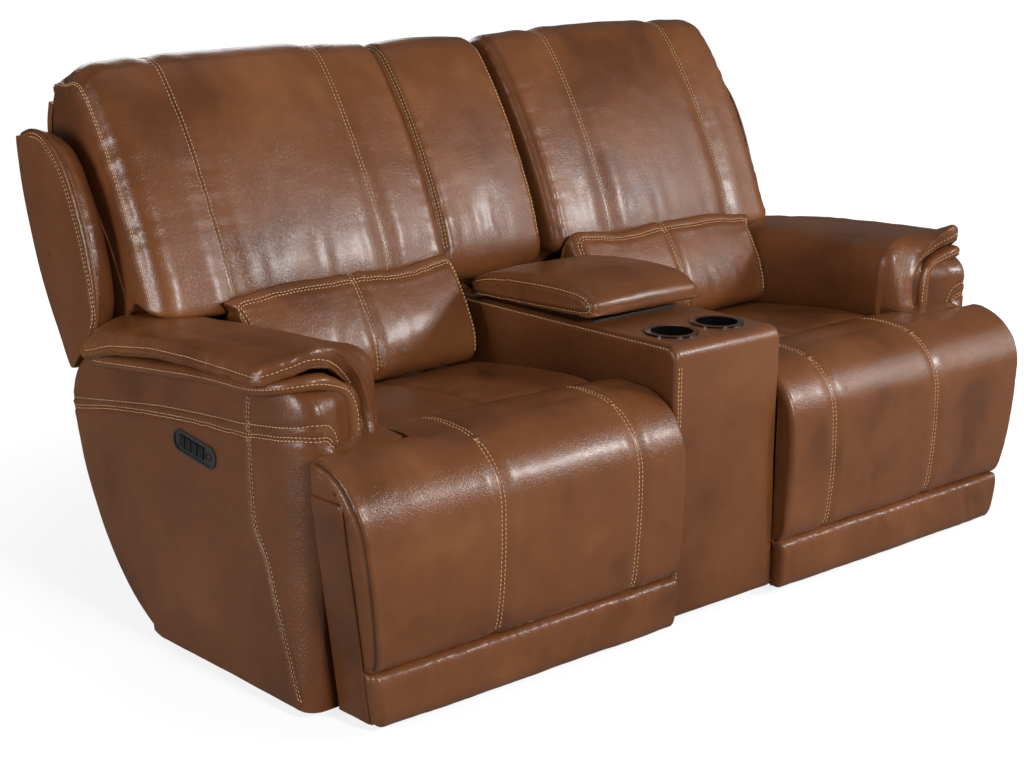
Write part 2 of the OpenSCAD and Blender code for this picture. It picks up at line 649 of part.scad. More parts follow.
// Carrier: two bars that run forward in the plates' runners, the hinge shaft at their noses
// and a cross bar with the block of the footrest's drive
link_pin_d = 10;
link_span = 2 * link_length * cos(link_closed_angle);
slot_y = link_y - link_span;
slot_length = 12;
module carrier(s) {
  x0 = carrier_x;
  x1 = carrier_x + carrier_thickness;
  low = carrier_bottom;
  color(steel) seat_part(s) {
    both_sides() {
      difference() {
        along_x(x0, x1) difference() {
          union() {
            translate([pivot_y, pivot_z]) circle(r = 14);
            polygon([[pivot_y - 12, pivot_z - 8], [pivot_y + 9, pivot_z + 11],
              [pivot_y + 56, carrier_top], [carrier_rear, carrier_top], [carrier_rear, low],
              [pivot_y + 32, low]]);
            translate([slot_y - 20, link_z - 12]) square([40, low - link_z + 14]);
          }
          translate([slot_y, link_z]) stadium(slot_length + link_pin_d + 0.4, link_pin_d + 0.4);
        }
        rod(x0 - 1, x1 + 1, pivot_y, pivot_z, footrest_shaft_d);
      }
    }
    rod(x0, 2 * lane_mid - x0, pivot_y, pivot_z, footrest_shaft_d);
    block(x1, 2 * lane_mid - x1, carrier_rear - 20, carrier_rear, low, carrier_top);
    difference() {
      block(foot_drive_x - 26, foot_drive_x + 26, carrier_rear - 30, carrier_rear + 10,
        drive_z - 26, low);
      block(foot_drive_x - 15 - gap, foot_drive_x + 15 + gap, carrier_rear - 31, carrier_rear + 11,
        drive_z - 15 - gap, drive_z + 15 + gap);
    }
  }
}

// Links: the rear one hangs from the plate, the front one rises from its elbow to the carrier
elbow_y = link_y - link_length * cos(link_closed_angle);
elbow_z = link_z - link_length * sin(link_closed_angle);
link_width = 22;
module link_bar(x, from, to, bore) {
  a = atan2(to[1] - from[1], to[0] - from[0]);
  difference() {
    along_x(x, x + link_thickness) translate((from + to) / 2) rotate(a)
      stadium(link_length + link_width, link_width);
    for (p = bore) rod(x - 1, x + link_thickness + 1, p[0], p[1], link_pin_d + 0.1);
  }
}
module rear_link(s) {
  color("#5b5e62") seat_part(s) both_sides() {
    link_bar(rear_link_x, [link_y, link_z], [elbow_y, elbow_z], [[link_y, link_z]]);
    rod(rear_link_x + link_thickness, front_link_x + link_thickness, elbow_y, elbow_z, link_pin_d);
  }
}
module front_link(s) {
  color("#5b5e62") seat_part(s) both_sides() {
    link_bar(front_link_x, [elbow_y, elbow_z], [slot_y, link_z], [[elbow_y, elbow_z]]);
    rod(carrier_x, front_link_x, slot_y, link_z, link_pin_d);
  }
}

// Footrest: a timber board with two boxed ends in front of the arms, hung on the carrier's shaft
foot_out_low = arm_out - footrest_flare;
foot_out_top = arm_out - 6;
bracket_x = carrier_x + carrier_thickness + 18;
footrest_top = seat_height - 5;
foot_low = footrest_clearance + 4;
module footrest_frame(s) {
  z1 = pivot_z + 35;
  low = foot_low;
  color(timber) seat_part(s) {
    block(con_half + 12, arm_in, board_front, board_rear, low, z1);
    // The boxed end flares outwards as it rises
    difference() {
      block(arm_in, foot_out_top, board_front, arm_front - 10, low, z1);
      translate([foot_out_low, 0, low - 1]) rotate([0, atan((foot_out_top - foot_out_low) / (z1 - low)), 0])
        block(0, 200, 0, arm_front, -40, 700);
      block(arm_in + 15, foot_out_low - 15, board_rear, arm_front, low + 15, z1 - 15);
    }
  }
  color(steel) seat_part(s) both_sides() difference() {
    along_x(bracket_x, bracket_x + 5) {
      translate([board_rear, pivot_z - 60]) square([16, 75]);
      translate([board_rear, pivot_z - 14]) square([pivot_y - board_rear, 28]);
      translate([pivot_y, pivot_z]) circle(r = 14);
    }
    rod(bracket_x - 1, bracket_x + 6, pivot_y, pivot_z, footrest_shaft_d + 0.1);
  }
}
// Outer end of the footrest at a height
function foot_out(z) = min(foot_out_top,
  foot_out_low + (foot_out_top - foot_out_low) * (z - foot_low) / (pivot_z + 35 - foot_low));
function flare(x, z) = (foot_out_top - foot_out(z)) * max(0, x - arm_in - 10) / (foot_out_top - arm_in - 10);
band_top = footrest_clearance + band_height;
roll_r = 135;
roll_z = seat_height - 5 - roll_r;
roll_y = pad_front + roll_r;
// Outline of the footrest's padding: its face rises from the band, rolls over the top and
// ends at the rear, where it drops onto the board
function footrest_outline(rear) = let (
  x = board_front - gap,
  top = pivot_z + 35 + gap,
  end = acos((rear - roll_y) / roll_r),
  front = arc([roll_y, roll_z], roll_r, 180, end, 9))
  reversed(concat([[x, band_top + 2], [-4, band_top + 2], [-20, band_top + 26], [pad_front + 3, 230]],
    front, [[rear, top], [x, top]]));
module footrest_pad(s) {
  inner_rear = pivot_y - 10;
  outer_rear = arm_front - 10;
  x_step = arm_in + 3;
  x_end = foot_out_top;
  r = 18;
  seams = [lane_mid - seat_seam, lane_mid + seat_seam];
  xs = [for (x = stations(cushion_in, x_end, r, seams, 6)) if (abs(x - x_step) > 8) x];
  near = sorted(concat(xs, [x_step - 1, x_step]));
  color(leather) seat_part(s) skin([for (x = near)
    let (rear = x < x_step ? inner_rear : outer_rear, p = footrest_outline(rear),
      n = len(p),
      w = [for (i = [0:n - 1]) i < 2 || i == n - 1 ? 0 : i == n - 2 ? 0.3 : i == n - 3 ? 0.6 : 1],
      d = inset(x, cushion_in, x_end, r, 3, seams, 4),
      q = move_in(p, w, d),
      rise = max(1, (p[2][1] - p[3][1]) * (1 - d / r)))
      // The rear top corner only drops, and nothing passes behind it
      [for (i = [0:n - 1]) let (c = i < 2 ? p[i] : i == 2 ? [rear, q[3][1] + rise] :
        [min(q[i][0], rear - 2), q[i][1]]) [x - flare(x, c[1]), c[0], c[1]]]]);
}
module footrest_band(s) {
  z0 = footrest_clearance;
  p = [[board_front - gap, z0 + 3], [board_front - gap, band_top], [2, band_top],
    [-7, band_top - 14], [-11, band_top - 50], [-9, z0 + 30], [-4, z0 + 8], [4, z0]];
  w = [0, 0, 1, 1, 1, 1, 1, 1];
  color(leather) seat_part(s) cushion(cushion_in, foot_out_low, p, w, 9, 2, [], 0, 5);
}

// Back: a timber frame on the plates' pins, a shell with a wing, the upper and lumbar cushions
module back_frame(s) {
  x0 = plate_x + plate_thickness + 4;
  x1 = 2 * lane_mid - x0;
  f = frame_front;
  t = frame_thickness;
  color(timber) seat_part(s) on_back() {
    for (x = [x0 + 12, x1 - 52]) block(x, x + 40, f, f + t, 40, frame_top);
    for (u = [40, 220, 400 * back_share, 580 * back_share, frame_top - 60])
      block(x0 + 52, x1 - 52, f, f + t, u, u + 60);
    spacers(lane_mid, -0.2);
    // The upper part reaches outboard over the arm
    for (u = [400, 660] * back_share) block(x1 - 12, upper_out - 40, f, f + t, u, u + 60);
    block(upper_out - 80, upper_out - 40, f, f + t, 400 * back_share + 60, 660 * back_share);
  }
  color(steel) seat_part(s) both_sides() on_back() difference() {
    union() {
      along_x(x0, x0 + 8) {
        circle(r = 22);
        translate([-22, 0]) square([44, 60]);
        translate([f, 40]) square([t, 130]);
      }
      block(x0 + 8, x0 + 12, f, f + t, 44, 170);
    }
    rod(x0 - 1, x0 + 9, 0, 0, back_pin_d + 0.1);
  }
  // The lug below the hinge that the back's drive pulls, with a slot for the drive's pin
  color(steel) seat_part(s) along_x(lug_x, lug_x + 8) difference() {
    polygon([[hinge_y - 16, hinge_z + 46], [hinge_y + 14, hinge_z + 62],
      [hinge_y + 14, hinge_z - lug_drop - 20], [hinge_y - 14, hinge_z - lug_drop - 20]]);
    translate([hinge_y, hinge_z - lug_drop - 3.5]) rotate(90)
      stadium(drive_pin_d + 2 * lug_play + 9, drive_pin_d + 2 * lug_play);
  }
}
module back_shell(s) {
  color(leather) seat_part(s) {
    on_back() {
      // Outboard of the seat the shell only starts above the arm
      along_x(cushion_in + 4, arm_in - 6) shell_strip(panel_line);
      along_x(arm_in - 6, upper_out + 4) shell_strip([for (q = panel_line) if (q[1] > 200) q]);
      along_x(upper_out + 4, wing_out) polygon(concat([for (q = shell_line) if (q[1] > 200) q], wing_line));
    }
    // The flap that hides the mechanism from behind
    along_x(cushion_in + 6, arm_in - 8) polygon([off_back(90, 74), [hinge_y + 110, hinge_z - 140],
      [hinge_y + 102, hinge_z - 140], off_back(82, 74)]);
  }
}
back_seam = 200;
// Lowest reach of the upper cushion where it stands behind the arm pad, up the back
over_arm = arm_height - 307;
module back_cushion(s) {
  mid = (cushion_in + upper_out) / 2;
  color(leather) seat_part(s) back_pad(cushion_in + 5, upper_out, back_reach, lumbar_top - 20,
    back_length, [mid - back_seam, mid + back_seam], 5, arm_in - 8, over_arm - lumbar_top + 20);
}
module lumbar_cushion(s) {
  r = back_reach + 26;
  f = frame_front - gap;
  p = [[f, 42], [f, lumbar_top - 24], [-back_reach - 2, lumbar_top - 24], [-back_reach - 8, lumbar_top],
    [-r + 6, lumbar_top - 12], [-r - 2, lumbar_top - 45], [-r - 4, 140], [-r + 8, 80],
    [-r + 40, 52], [-r + 70, 44]];
  w = [0, 0, 0.2, 0.6, 1, 1, 1, 1, 1, 0.3];
  color(leather) seat_part(s) on_back() cushion(cushion_in + 3, cushion_out - 1, p, w, 26, 14,
    [lane_mid], 5, 6);
}
// The back's drive: a block on the square guide and its pull rod, whose pin runs in the back's lug
module back_drive(s) {
  x = back_drive_x;
  rod_x = lug_x - 12;
  z = hinge_z - lug_drop;
  color("#4a4c50") seat_part(s) {
    difference() {
      block(x - 24, rod_x + 8, 380, 430, z - 8, drive_z + 24);
      block(x - 15 - gap, x + 15 + gap, 379, 431, drive_z - 15 - gap, drive_z + 15 + gap);
    }
    translate([rod_x, 430, z]) rotate([-90, 0, 0]) cylinder(h = hinge_y - 430, d = 12);
    rod(rod_x - 6, lug_x + 10, hinge_y, z, drive_pin_d);
  }
}

base_rails();
glides();
arm_frame(-1);  // left_arm_frame
arm_frame(1);  // right_arm_frame
arm_cover(-1);  // left_arm_cover
arm_cover(1);  // right_arm_cover
arm_pad(-1);  // left_arm_pad
arm_pad(1);  // right_arm_pad
console_frame();
console_cover();
console_bin();
cup_holders();
console_back_frame();
console_back_cushion();
lid_hinge_base();
lid_hinge_leaf();
lid_board();
lid_pad();
control_panel(-1);  // left_control_panel
control_panel(1);  // right_control_panel
button(-1, 1);  // left_button_1
button(-1, 2);  // left_button_2
button(-1, 3);  // left_button_3
button(-1, 4);  // left_button_4
button(1, 1);  // right_button_1
button(1, 2);  // right_button_2
button(1, 3);  // right_button_3
button(1, 4);  // right_button_4
usb_ports();
power_supply();
frame_bolts();
drive_motors();
side_plates(-1);  // left_side_plates
side_plates(1);  // right_side_plates
seat_rails();
seat_springs();
seat_cushion(-1);  // left_seat_cushion
seat_cushion(1);  // right_seat_cushion
carrier(-1);  // left_carrier
carrier(1);  // right_carrier
rear_link(-1);  // left_rear_link
rear_link(1);  // right_rear_link
front_link(-1);  // left_front_link
front_link(1);  // right_front_link
footrest_frame(-1);  // left_footrest_frame
footrest_frame(1);  // right_footrest_frame
footrest_pad(-1);  // left_footrest_pad
footrest_pad(1);  // right_footrest_pad
footrest_band(-1);  // left_footrest_band
footrest_band(1);  // right_footrest_band
back_frame(-1);  // left_back_frame
back_frame(1);  // right_back_frame
back_shell(-1);  // left_back_shell
back_shell(1);  // right_back_shell
back_cushion(-1);  // left_back_cushion
back_cushion(1);  // right_back_cushion
lumbar_cushion(-1);  // left_lumbar_cushion
lumbar_cushion(1);  // right_lumbar_cushion
back_drive(-1);  // left_back_drive
back_drive(1);  // right_back_drive
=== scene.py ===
import bpy
import json
import math
import numpy as np
from mathutils import Matrix, Vector
from mathutils.bvhtree import BVHTree


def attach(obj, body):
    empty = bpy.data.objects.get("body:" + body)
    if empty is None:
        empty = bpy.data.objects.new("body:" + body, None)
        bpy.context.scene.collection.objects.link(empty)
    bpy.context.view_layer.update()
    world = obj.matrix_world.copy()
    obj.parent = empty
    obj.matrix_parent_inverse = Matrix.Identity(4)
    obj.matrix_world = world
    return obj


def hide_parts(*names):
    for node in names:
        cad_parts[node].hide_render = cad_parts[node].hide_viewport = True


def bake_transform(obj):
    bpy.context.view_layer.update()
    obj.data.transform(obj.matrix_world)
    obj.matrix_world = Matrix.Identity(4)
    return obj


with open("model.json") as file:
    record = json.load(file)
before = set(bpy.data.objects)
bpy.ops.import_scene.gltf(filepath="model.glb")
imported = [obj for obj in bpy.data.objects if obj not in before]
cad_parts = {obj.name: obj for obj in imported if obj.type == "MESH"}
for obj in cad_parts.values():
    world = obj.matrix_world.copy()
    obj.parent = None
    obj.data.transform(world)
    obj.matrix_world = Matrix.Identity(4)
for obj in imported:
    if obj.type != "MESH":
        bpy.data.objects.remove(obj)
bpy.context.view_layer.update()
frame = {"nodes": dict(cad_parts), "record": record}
print("frame loaded")

# Shapes are drawn in millimetres: across, back from the foot's front, and up.
# toRow() turns them into the frame of the solids, in metres.
plan = {"middle": 524.929, "hingeBack": 700.0, "hingeUp": 340.0, "lean": 29.5}
leanSin = math.sin(math.radians(plan["lean"]))
leanCos = math.cos(math.radians(plan["lean"]))
sides = (("left", -1), ("right", 1))
boards = {"back": -38.3, "foot": 14.7}  # the faces of the boards that carry the cushions
doubleRow = (-3.4, 3.4)  # two rows of stitches, either side of a seam
wideRow = (-4.6, 4.6)


def toRow(points):
    p = np.asarray(points, float)
    return np.stack([p[..., 0], p[..., 1] - plan["middle"], p[..., 2]], -1) / 1000


def upBack(points):  # (behind the hinge line, up the back) to (back, up)
    p = np.asarray(points, float)
    return np.stack([plan["hingeBack"] + p[:, 0] * leanCos + p[:, 1] * leanSin,
                     plan["hingeUp"] - p[:, 0] * leanSin + p[:, 1] * leanCos], 1)


# lines
def spaced(points, step):
    p = np.asarray(points, float)
    d = np.r_[0, np.cumsum(np.linalg.norm(np.diff(p, axis=0), axis=1))]
    t = np.linspace(0, d[-1], max(2, int(round(d[-1] / step)) + 1))
    return np.stack([np.interp(t, d, p[:, k]) for k in range(p.shape[1])], 1)


def eased(points, per=12):
    p = np.asarray(points, float)
    q = np.vstack([2 * p[0] - p[1], p, 2 * p[-1] - p[-2]])
    t = np.linspace(0, 1, per, endpoint=False)[:, None]
    out = []
    for a, b, c, d in zip(q, q[1:], q[2:], q[3:]):
        square, cube = 2 * a - 5 * b + 4 * c - d, 3 * b - a - 3 * c + d
        out.append(0.5 * (2 * b + (c - a) * t + square * t ** 2 + cube * t ** 3))
    return np.vstack(out + [p[-1:]])


def swept(a, b, c, d, n=24):  # a Bezier curve
    t = np.linspace(0, 1, n)[:, None]
    a, b, c, d = (np.asarray(q, float) for q in (a, b, c, d))
    return (1 - t) ** 3 * a + 3 * (1 - t) ** 2 * t * b + 3 * (1 - t) * t * t * c + t ** 3 * d


def arcLine(centre, radius, start, end, n=24):
    a = np.radians(np.linspace(start, end, n))
    return np.stack([centre[0] + radius * np.cos(a), centre[1] + radius * np.sin(a)], 1)


def loop(*parts, step=6.0):  # closed outline, evenly spaced, the corners between its parts kept
    parts = [np.asarray(q, float) for q in parts]
    out = []
    for k, part in enumerate(parts):
        if len(part) > 1:
            out.append(spaced(part, step))
        else:
            out.append(part)
        after = parts[(k + 1) % len(parts)][0]
        if np.linalg.norm(after - part[-1]) > step:
            out.append(spaced([part[-1], after], step)[1:-1])
    p = np.vstack([q for q in out if len(q)])
    keep = np.linalg.norm(p - np.roll(p, 1, axis=0), axis=1) > 0.4
    return p[keep]


def nearestOn(points, line):
    best = np.full(len(points), 1e12)
    foot = np.zeros((len(points), len(line[0])))
    line = np.asarray(line, float)
    for a, b in zip(line[:-1], line[1:]):
        t = np.clip(((points - a) @ (b - a)) / max((b - a) @ (b - a), 1e-9), 0, 1)
        q = a + t[:, None] * (b - a)
        d = ((points - q) ** 2).sum(1)
        nearer = d < best
        best[nearer], foot[nearer] = d[nearer], q[nearer]
    return foot


def alongLine(points, line, reach=70.0):  # distance from a line and length along it
    away = np.full(len(points), 1e6)
    along = np.zeros(len(points))
    low, high = line.min(0) - reach, line.max(0) + reach
    near = np.nonzero(((points > low) & (points < high)).all(1))[0]
    p = points[near]
    best, where, run = np.full(len(p), 1e12), np.zeros(len(p)), 0.0
    for a, b in zip(line[:-1], line[1:]):
        size = np.linalg.norm(b - a)
        if size < 1e-9:
            continue
        t = np.clip(((p - a) @ (b - a)) / size ** 2, 0, 1)
        d = ((p - a - t[:, None] * (b - a)) ** 2).sum(1)
        nearer = d < best
        best[nearer], where[nearer] = d[nearer], run + t[nearer] * size
        run += size
    away[near], along[near] = np.sqrt(best), where
    return away, along


# leather unevenness: smooth random values on a lattice, always the same
lattice = np.random.RandomState(11).rand(48, 48, 48) * 2 - 1


def uneven(points, scale, seed=0.0):
    q = np.asarray(points, float) / scale + seed * 7.31 + 400.0
    i = np.floor(q).astype(int)
    f = q - i
    f = f * f * (3 - 2 * f)
    total = 0.0
    for dx in (0, 1):
        for dy in (0, 1):
            for dz in (0, 1):
                w = np.prod([f[:, k] if d else 1 - f[:, k] for k, d in enumerate((dx, dy, dz))], axis=0)
                total = total + w * lattice[(i[:, 0] + dx) % 48, (i[:, 1] + dy) % 48, (i[:, 2] + dz) % 48]
    return total


def unevenAlong(length, scale, seed=0.0):
    z = np.zeros_like(length)
    return uneven(np.stack([length, z + seed * 31, z], 1), scale)


# skins: dictionaries with points v, faces f, and the rings that seams are read from
def turnIn(e, r):
    return 0.0 if e >= r or r <= 0 else r - math.sqrt(max(0.0, r * r - (r - e) ** 2))


def stationsOf(x0, x1, ends, step):
    quarter = 1 - np.cos(np.linspace(0, math.pi / 2, 9))
    start = list(x0 + ends[0] * quarter) if ends[0] > 0 else [x0]
    stop = list(x1 - ends[1] * quarter[::-1]) if ends[1] > 0 else [x1]
    n = max(2, int((stop[0] - start[-1]) / step))
    return np.array(start[:-1] + list(np.linspace(start[-1], stop[0], n)) + stop[1:])


def loft(outline, core, x0, x1, ends=(34, 34), crown=0.0, weight=1.0, step=6.0, bulge=3.0, capRows=6,
         capCore=None, change=None, flare=None, open=None):
    xs = stationsOf(x0, x1, ends, step)
    weight = np.broadcast_to(weight, (len(outline),))
    rings = []
    for x in xs:
        t = (2 * x - x0 - x1) / (x1 - x0)
        inset = crown * t * t + turnIn(x - x0, ends[0]) + turnIn(x1 - x, ends[1])
        o = outline if change is None else change(x, outline)
        reach = nearestOn(o, core) - o
        far = np.maximum(np.linalg.norm(reach, axis=1), 1e-6)
        o = o + reach / far[:, None] * np.minimum(inset * weight, 0.82 * far)[:, None]
        rings.append(np.column_stack([np.full(len(o), x), o]))
    rings = np.array(rings)
    caps = []
    for ring, sign in ((rings[0], -1), (rings[-1], 1)):
        foot = nearestOn(ring[:, 1:], capCore if capCore is not None else core)
        rows = []
        for k in np.linspace(0, 1, capRows + 1)[1:]:
            r = ring.copy()
            r[:, 1:] += (foot - ring[:, 1:]) * k
            r[:, 0] += sign * bulge * (1 - (1 - k) ** 2)
            rows.append(r)
        caps.append(np.array(rows))
    every = np.concatenate([caps[0][::-1], rings, caps[1]])
    if flare is not None:
        every[..., 0] -= flare(every[..., 0], every[..., 2])
        rings[..., 0] -= flare(rings[..., 0], rings[..., 2])
    faces = gridFaces(len(every), len(outline), True)
    seen = np.ones((len(every) - 1, len(outline)), bool)
    if open is not None:
        seen[:, open | np.roll(open, -1)] = False
    if ends[0] == 0:
        seen[:capRows] = False
    if ends[1] == 0:
        seen[-capRows:] = False
    return {"v": every.reshape(-1, 3), "f": faces, "rings": rings, "xs": xs, "seen": seen.reshape(-1)}


def gridFaces(rows, columns, closed):
    j = np.arange(columns if closed else columns - 1)
    k = (j + 1) % columns
    corners = np.stack([j, k, k + columns, j + columns], 1)
    return np.concatenate([corners + i * columns for i in range(rows - 1)])


def mirrored(skin, s):
    if s > 0:
        return skin
    out = dict(skin)
    out["v"] = skin["v"] * [-1, 1, 1]
    out["f"] = skin["f"][:, ::-1]
    if "rings" in skin:
        out["rings"] = skin["rings"] * [-1, 1, 1]
    return out


def normalsOf(skin):
    v, f = skin["v"], skin["f"]
    n = np.cross(v[f[:, 2]] - v[f[:, 0]], v[f[:, 3]] - v[f[:, 1]])
    out = np.zeros_like(v)
    if "seen" in skin:
        shown = skin["seen"]
        for k in range(4):
            np.add.at(out, f[shown, k], n[shown])
        lone = np.linalg.norm(out, axis=1) < 1e-6
        rest = np.zeros_like(v)
        for k in range(4):
            np.add.at(rest, f[:, k], n)
        out[lone] = rest[lone]
    else:
        for k in range(4):
            np.add.at(out, f[:, k], n)
    return out / np.maximum(np.linalg.norm(out, axis=1), 1e-9)[:, None]


def seamAcross(skin, spot, x0, x1):  # a line along the width, at the outline point nearest to spot
    rings, xs = skin["rings"], skin["xs"]
    k = int(np.argmin(((rings[len(xs) // 2][:, 1:] - np.asarray(spot)) ** 2).sum(1)))
    x = np.arange(x0, x1 + 0.1, 5.0)
    return np.stack([np.interp(x, xs, rings[:, k, a]) for a in range(3)], 1)


def seamAlong(skin, x, start, end):  # a line along the outline at one place across, from start to end
    rings, xs = skin["rings"], skin["xs"]
    ring = np.stack([[np.interp(x, xs, rings[:, k, a]) for a in range(3)] for k in range(rings.shape[1])])
    middle = rings[len(xs) // 2][:, 1:]
    a = int(np.argmin(((middle - np.asarray(start)) ** 2).sum(1)))
    b = int(np.argmin(((middle - np.asarray(end)) ** 2).sum(1)))
    n = len(ring)
    return ring[[(a + i) % n for i in range((b - a) % n + 1)]]


# one finished skin gets: broad softness, seams that pull in, puckers beside them, and painted shade along
# the seams
def soften(skin, amount=1.2, scale=120.0, fine=0.35, seed=1.0):
    n = normalsOf(skin)
    d = amount * uneven(skin["v"], scale, seed) + fine * uneven(skin["v"], scale / 4, seed + 2)
    skin["v"] = skin["v"] + n * d[:, None]
    skin.setdefault("seam", np.zeros(len(skin["v"])))
    skin.setdefault("threads", [])


def sew(skin, line, depth=4.0, width=14.0, pucker=0.8, pitch=26.0, rows=wideRow, puff=0.8, seed=0.0,
        crease=0.7, reach=None, dark=0.6, sewn=None):
    away, along = alongLine(skin["v"], line, 90.0)
    n = normalsOf(skin)
    d = -depth * np.exp(-(away / width) ** 2) - crease * np.exp(-(away / 3.2) ** 2)
    d += puff * np.exp(-((away - width * 1.7) / (width * 0.9)) ** 2)
    wave = unevenAlong(along, pitch, seed) + 0.5 * unevenAlong(along, pitch * 0.45, seed + 3)
    d += pucker * wave * np.exp(-(away / (reach or width * 2.1)) ** 2) * np.clip(away / 12, 0.12, 1)
    d[away > 1e5] = 0
    skin["v"] = skin["v"] + n * d[:, None]
    # painted shade: the seam attribute darkens the leather along the seam groove, by the amount dark
    skin.setdefault("seam", np.zeros(len(skin["v"])))
    skin["seam"] = np.maximum(skin["seam"], np.where(away < 1e5, dark * np.exp(-(away / 3.2) ** 2), 0))
    if rows:
        skin.setdefault("threads", []).append((line if sewn is None else sewn, rows))


def crinkle(skin, spot, size, amount, direction, pitch=16.0, seed=0.0):  # a patch of fine folds
    d = np.linalg.norm((skin["v"] - spot) / np.asarray(size), axis=1)
    n = normalsOf(skin)
    q = skin["v"] @ np.asarray(direction, float)
    wave = unevenAlong(q + 6 * uneven(skin["v"], 40, seed), pitch, seed)
    skin["v"] = skin["v"] + n * (amount * wave * np.exp(-d ** 2))[:, None]


threadMeshes = {}


def addMesh(store, key, v, f):
    old = store.setdefault(key, [[], [], 0])
    old[0].append(v)
    old[1].append(f + old[2])
    old[2] += len(v)


stitch = {"length": 6.4, "pitch": 8.8, "thread": 0.95, "lift": 0.4, "ease": 3, "sharp": 50}


def grainOfThread():  # one stitch, its ends sunk into the leather
    rings = [(-0.5, 0.25, -1.1), (-0.36, 0.85, -0.1), (0.0, 1.0, 0.15), (0.36, 0.85, -0.1),
             (0.5, 0.25, -1.1)]
    a = np.radians(np.arange(0, 360, 60))
    v = [np.stack([np.full(6, x), r * np.cos(a), r * np.sin(a) + z], 1) for x, r, z in rings]
    return np.concatenate(v), gridFaces(len(rings), 6, True)


stitchShape = grainOfThread()


def sewThreads(key, skin, tree):
    base, faces = stitchShape
    for line, rows in skin.get("threads", []):
        line = spaced(line, 2.4)
        for offset in rows:
            track = []
            for i in range(len(line)):
                t = line[min(i + 1, len(line) - 1)] - line[max(i - 1, 0)]
                hit = tree.find_nearest(Vector(line[i]), 40)
                if hit[0] is None:
                    continue
                n = np.array(hit[1])
                side = np.cross(t, n)
                size = np.linalg.norm(side)
                if size < 1e-6:
                    continue
                q = np.array(hit[0]) + side / size * offset
                hit = tree.find_nearest(Vector(q), 40)
                if hit[0] is not None:
                    track.append(np.r_[np.array(hit[0]), np.array(hit[1])])
            if len(track) < 6:
                continue
            track = np.array(track)
            for turn in range(stitch["ease"]):
                inner = (track[:-4] + track[1:-3] + track[2:-2] + track[3:-1] + track[4:]) / 5
                track[2:-2] = inner
            for i in range(len(track)):
                hit = tree.find_nearest(Vector(track[i, :3]), 20)
                if hit[0] is not None:
                    track[i, :3] = np.array(hit[0])
            d = np.r_[0, np.cumsum(np.linalg.norm(np.diff(track[:, :3], axis=0), axis=1))]
            at = np.arange(stitch["pitch"] / 2, d[-1] - stitch["pitch"] / 2, stitch["pitch"])
            if not len(at):
                continue
            get = lambda w: np.stack([np.interp(w, d, track[:, k]) for k in range(6)], 1)
            here, back, front = get(at), get(at - 2.5), get(at + 2.5)
            t = front[:, :3] - back[:, :3]
            t /= np.maximum(np.linalg.norm(t, axis=1), 1e-9)[:, None]
            n = here[:, 3:] - (here[:, 3:] * t).sum(1)[:, None] * t
            n /= np.maximum(np.linalg.norm(n, axis=1), 1e-9)[:, None]
            b = np.cross(n, t)
            r, size, lift = stitch["thread"], stitch["length"], stitch["lift"]
            v = (here[:, None, :3] + n[:, None] * lift + base[None, :, :1] * size * t[:, None]
                 + base[None, :, 1:2] * r * b[:, None] + base[None, :, 2:3] * r * n[:, None])
            f = faces[None] + (np.arange(len(at)) * len(base))[:, None, None]
            addMesh(threadMeshes, key, v.reshape(-1, 3), f.reshape(-1, 4))


def tube(line, radius, segments=10):  # its ends taper
    line = np.asarray(line, float)
    t = np.gradient(line, axis=0)
    t /= np.maximum(np.linalg.norm(t, axis=1), 1e-9)[:, None]
    n = np.cross(t[0], [0.3, 0.2, 1.0])
    n /= np.linalg.norm(n)
    a = np.linspace(0, 2 * math.pi, segments, endpoint=False)
    rings = []
    for i, p in enumerate(line):
        n = n - (n @ t[i]) * t[i]
        n /= max(np.linalg.norm(n), 1e-9)
        b = np.cross(t[i], n)
        r = radius * min(1.0, 0.15 + i * 0.4, 0.15 + (len(line) - 1 - i) * 0.4)
        rings.append(p + r * (np.cos(a)[:, None] * n + np.sin(a)[:, None] * b))
    return {"v": np.concatenate(rings), "f": gridFaces(len(line), segments, True)}


# node materials
def colourOf(r, g, b):  # sRGB 0-255 to linear
    part = [((c / 255 + 0.055) / 1.055) ** 2.4 if c > 10 else c / 255 / 12.92 for c in (r, g, b)]
    return (*part, 1.0)


def newMaterial(name):
    m = bpy.data.materials.new(name)
    m.use_nodes = True
    m.node_tree.nodes.clear()
    return m, m.node_tree.nodes, m.node_tree.links


def addNode(nodes, kind, place=(0, 0), **inputs):
    n = nodes.new("ShaderNode" + kind)
    n.location = place
    for key, value in inputs.items():
        n.inputs[key.replace("_", " ")].default_value = value
    return n


leather = {"light": (132, 81, 46), "mid": (118, 70, 38), "dark": (99, 57, 30), "seamDark": (40, 22, 12),
           "rough": 0.31, "specular": 0.4, "coat": 0.24, "coatRough": 0.22,
           "grain": 0.55, "grainSize": 380.0, "pores": 0.12, "poreSize": 900.0, "broad": 0.12,
           "broadSize": 34.0}


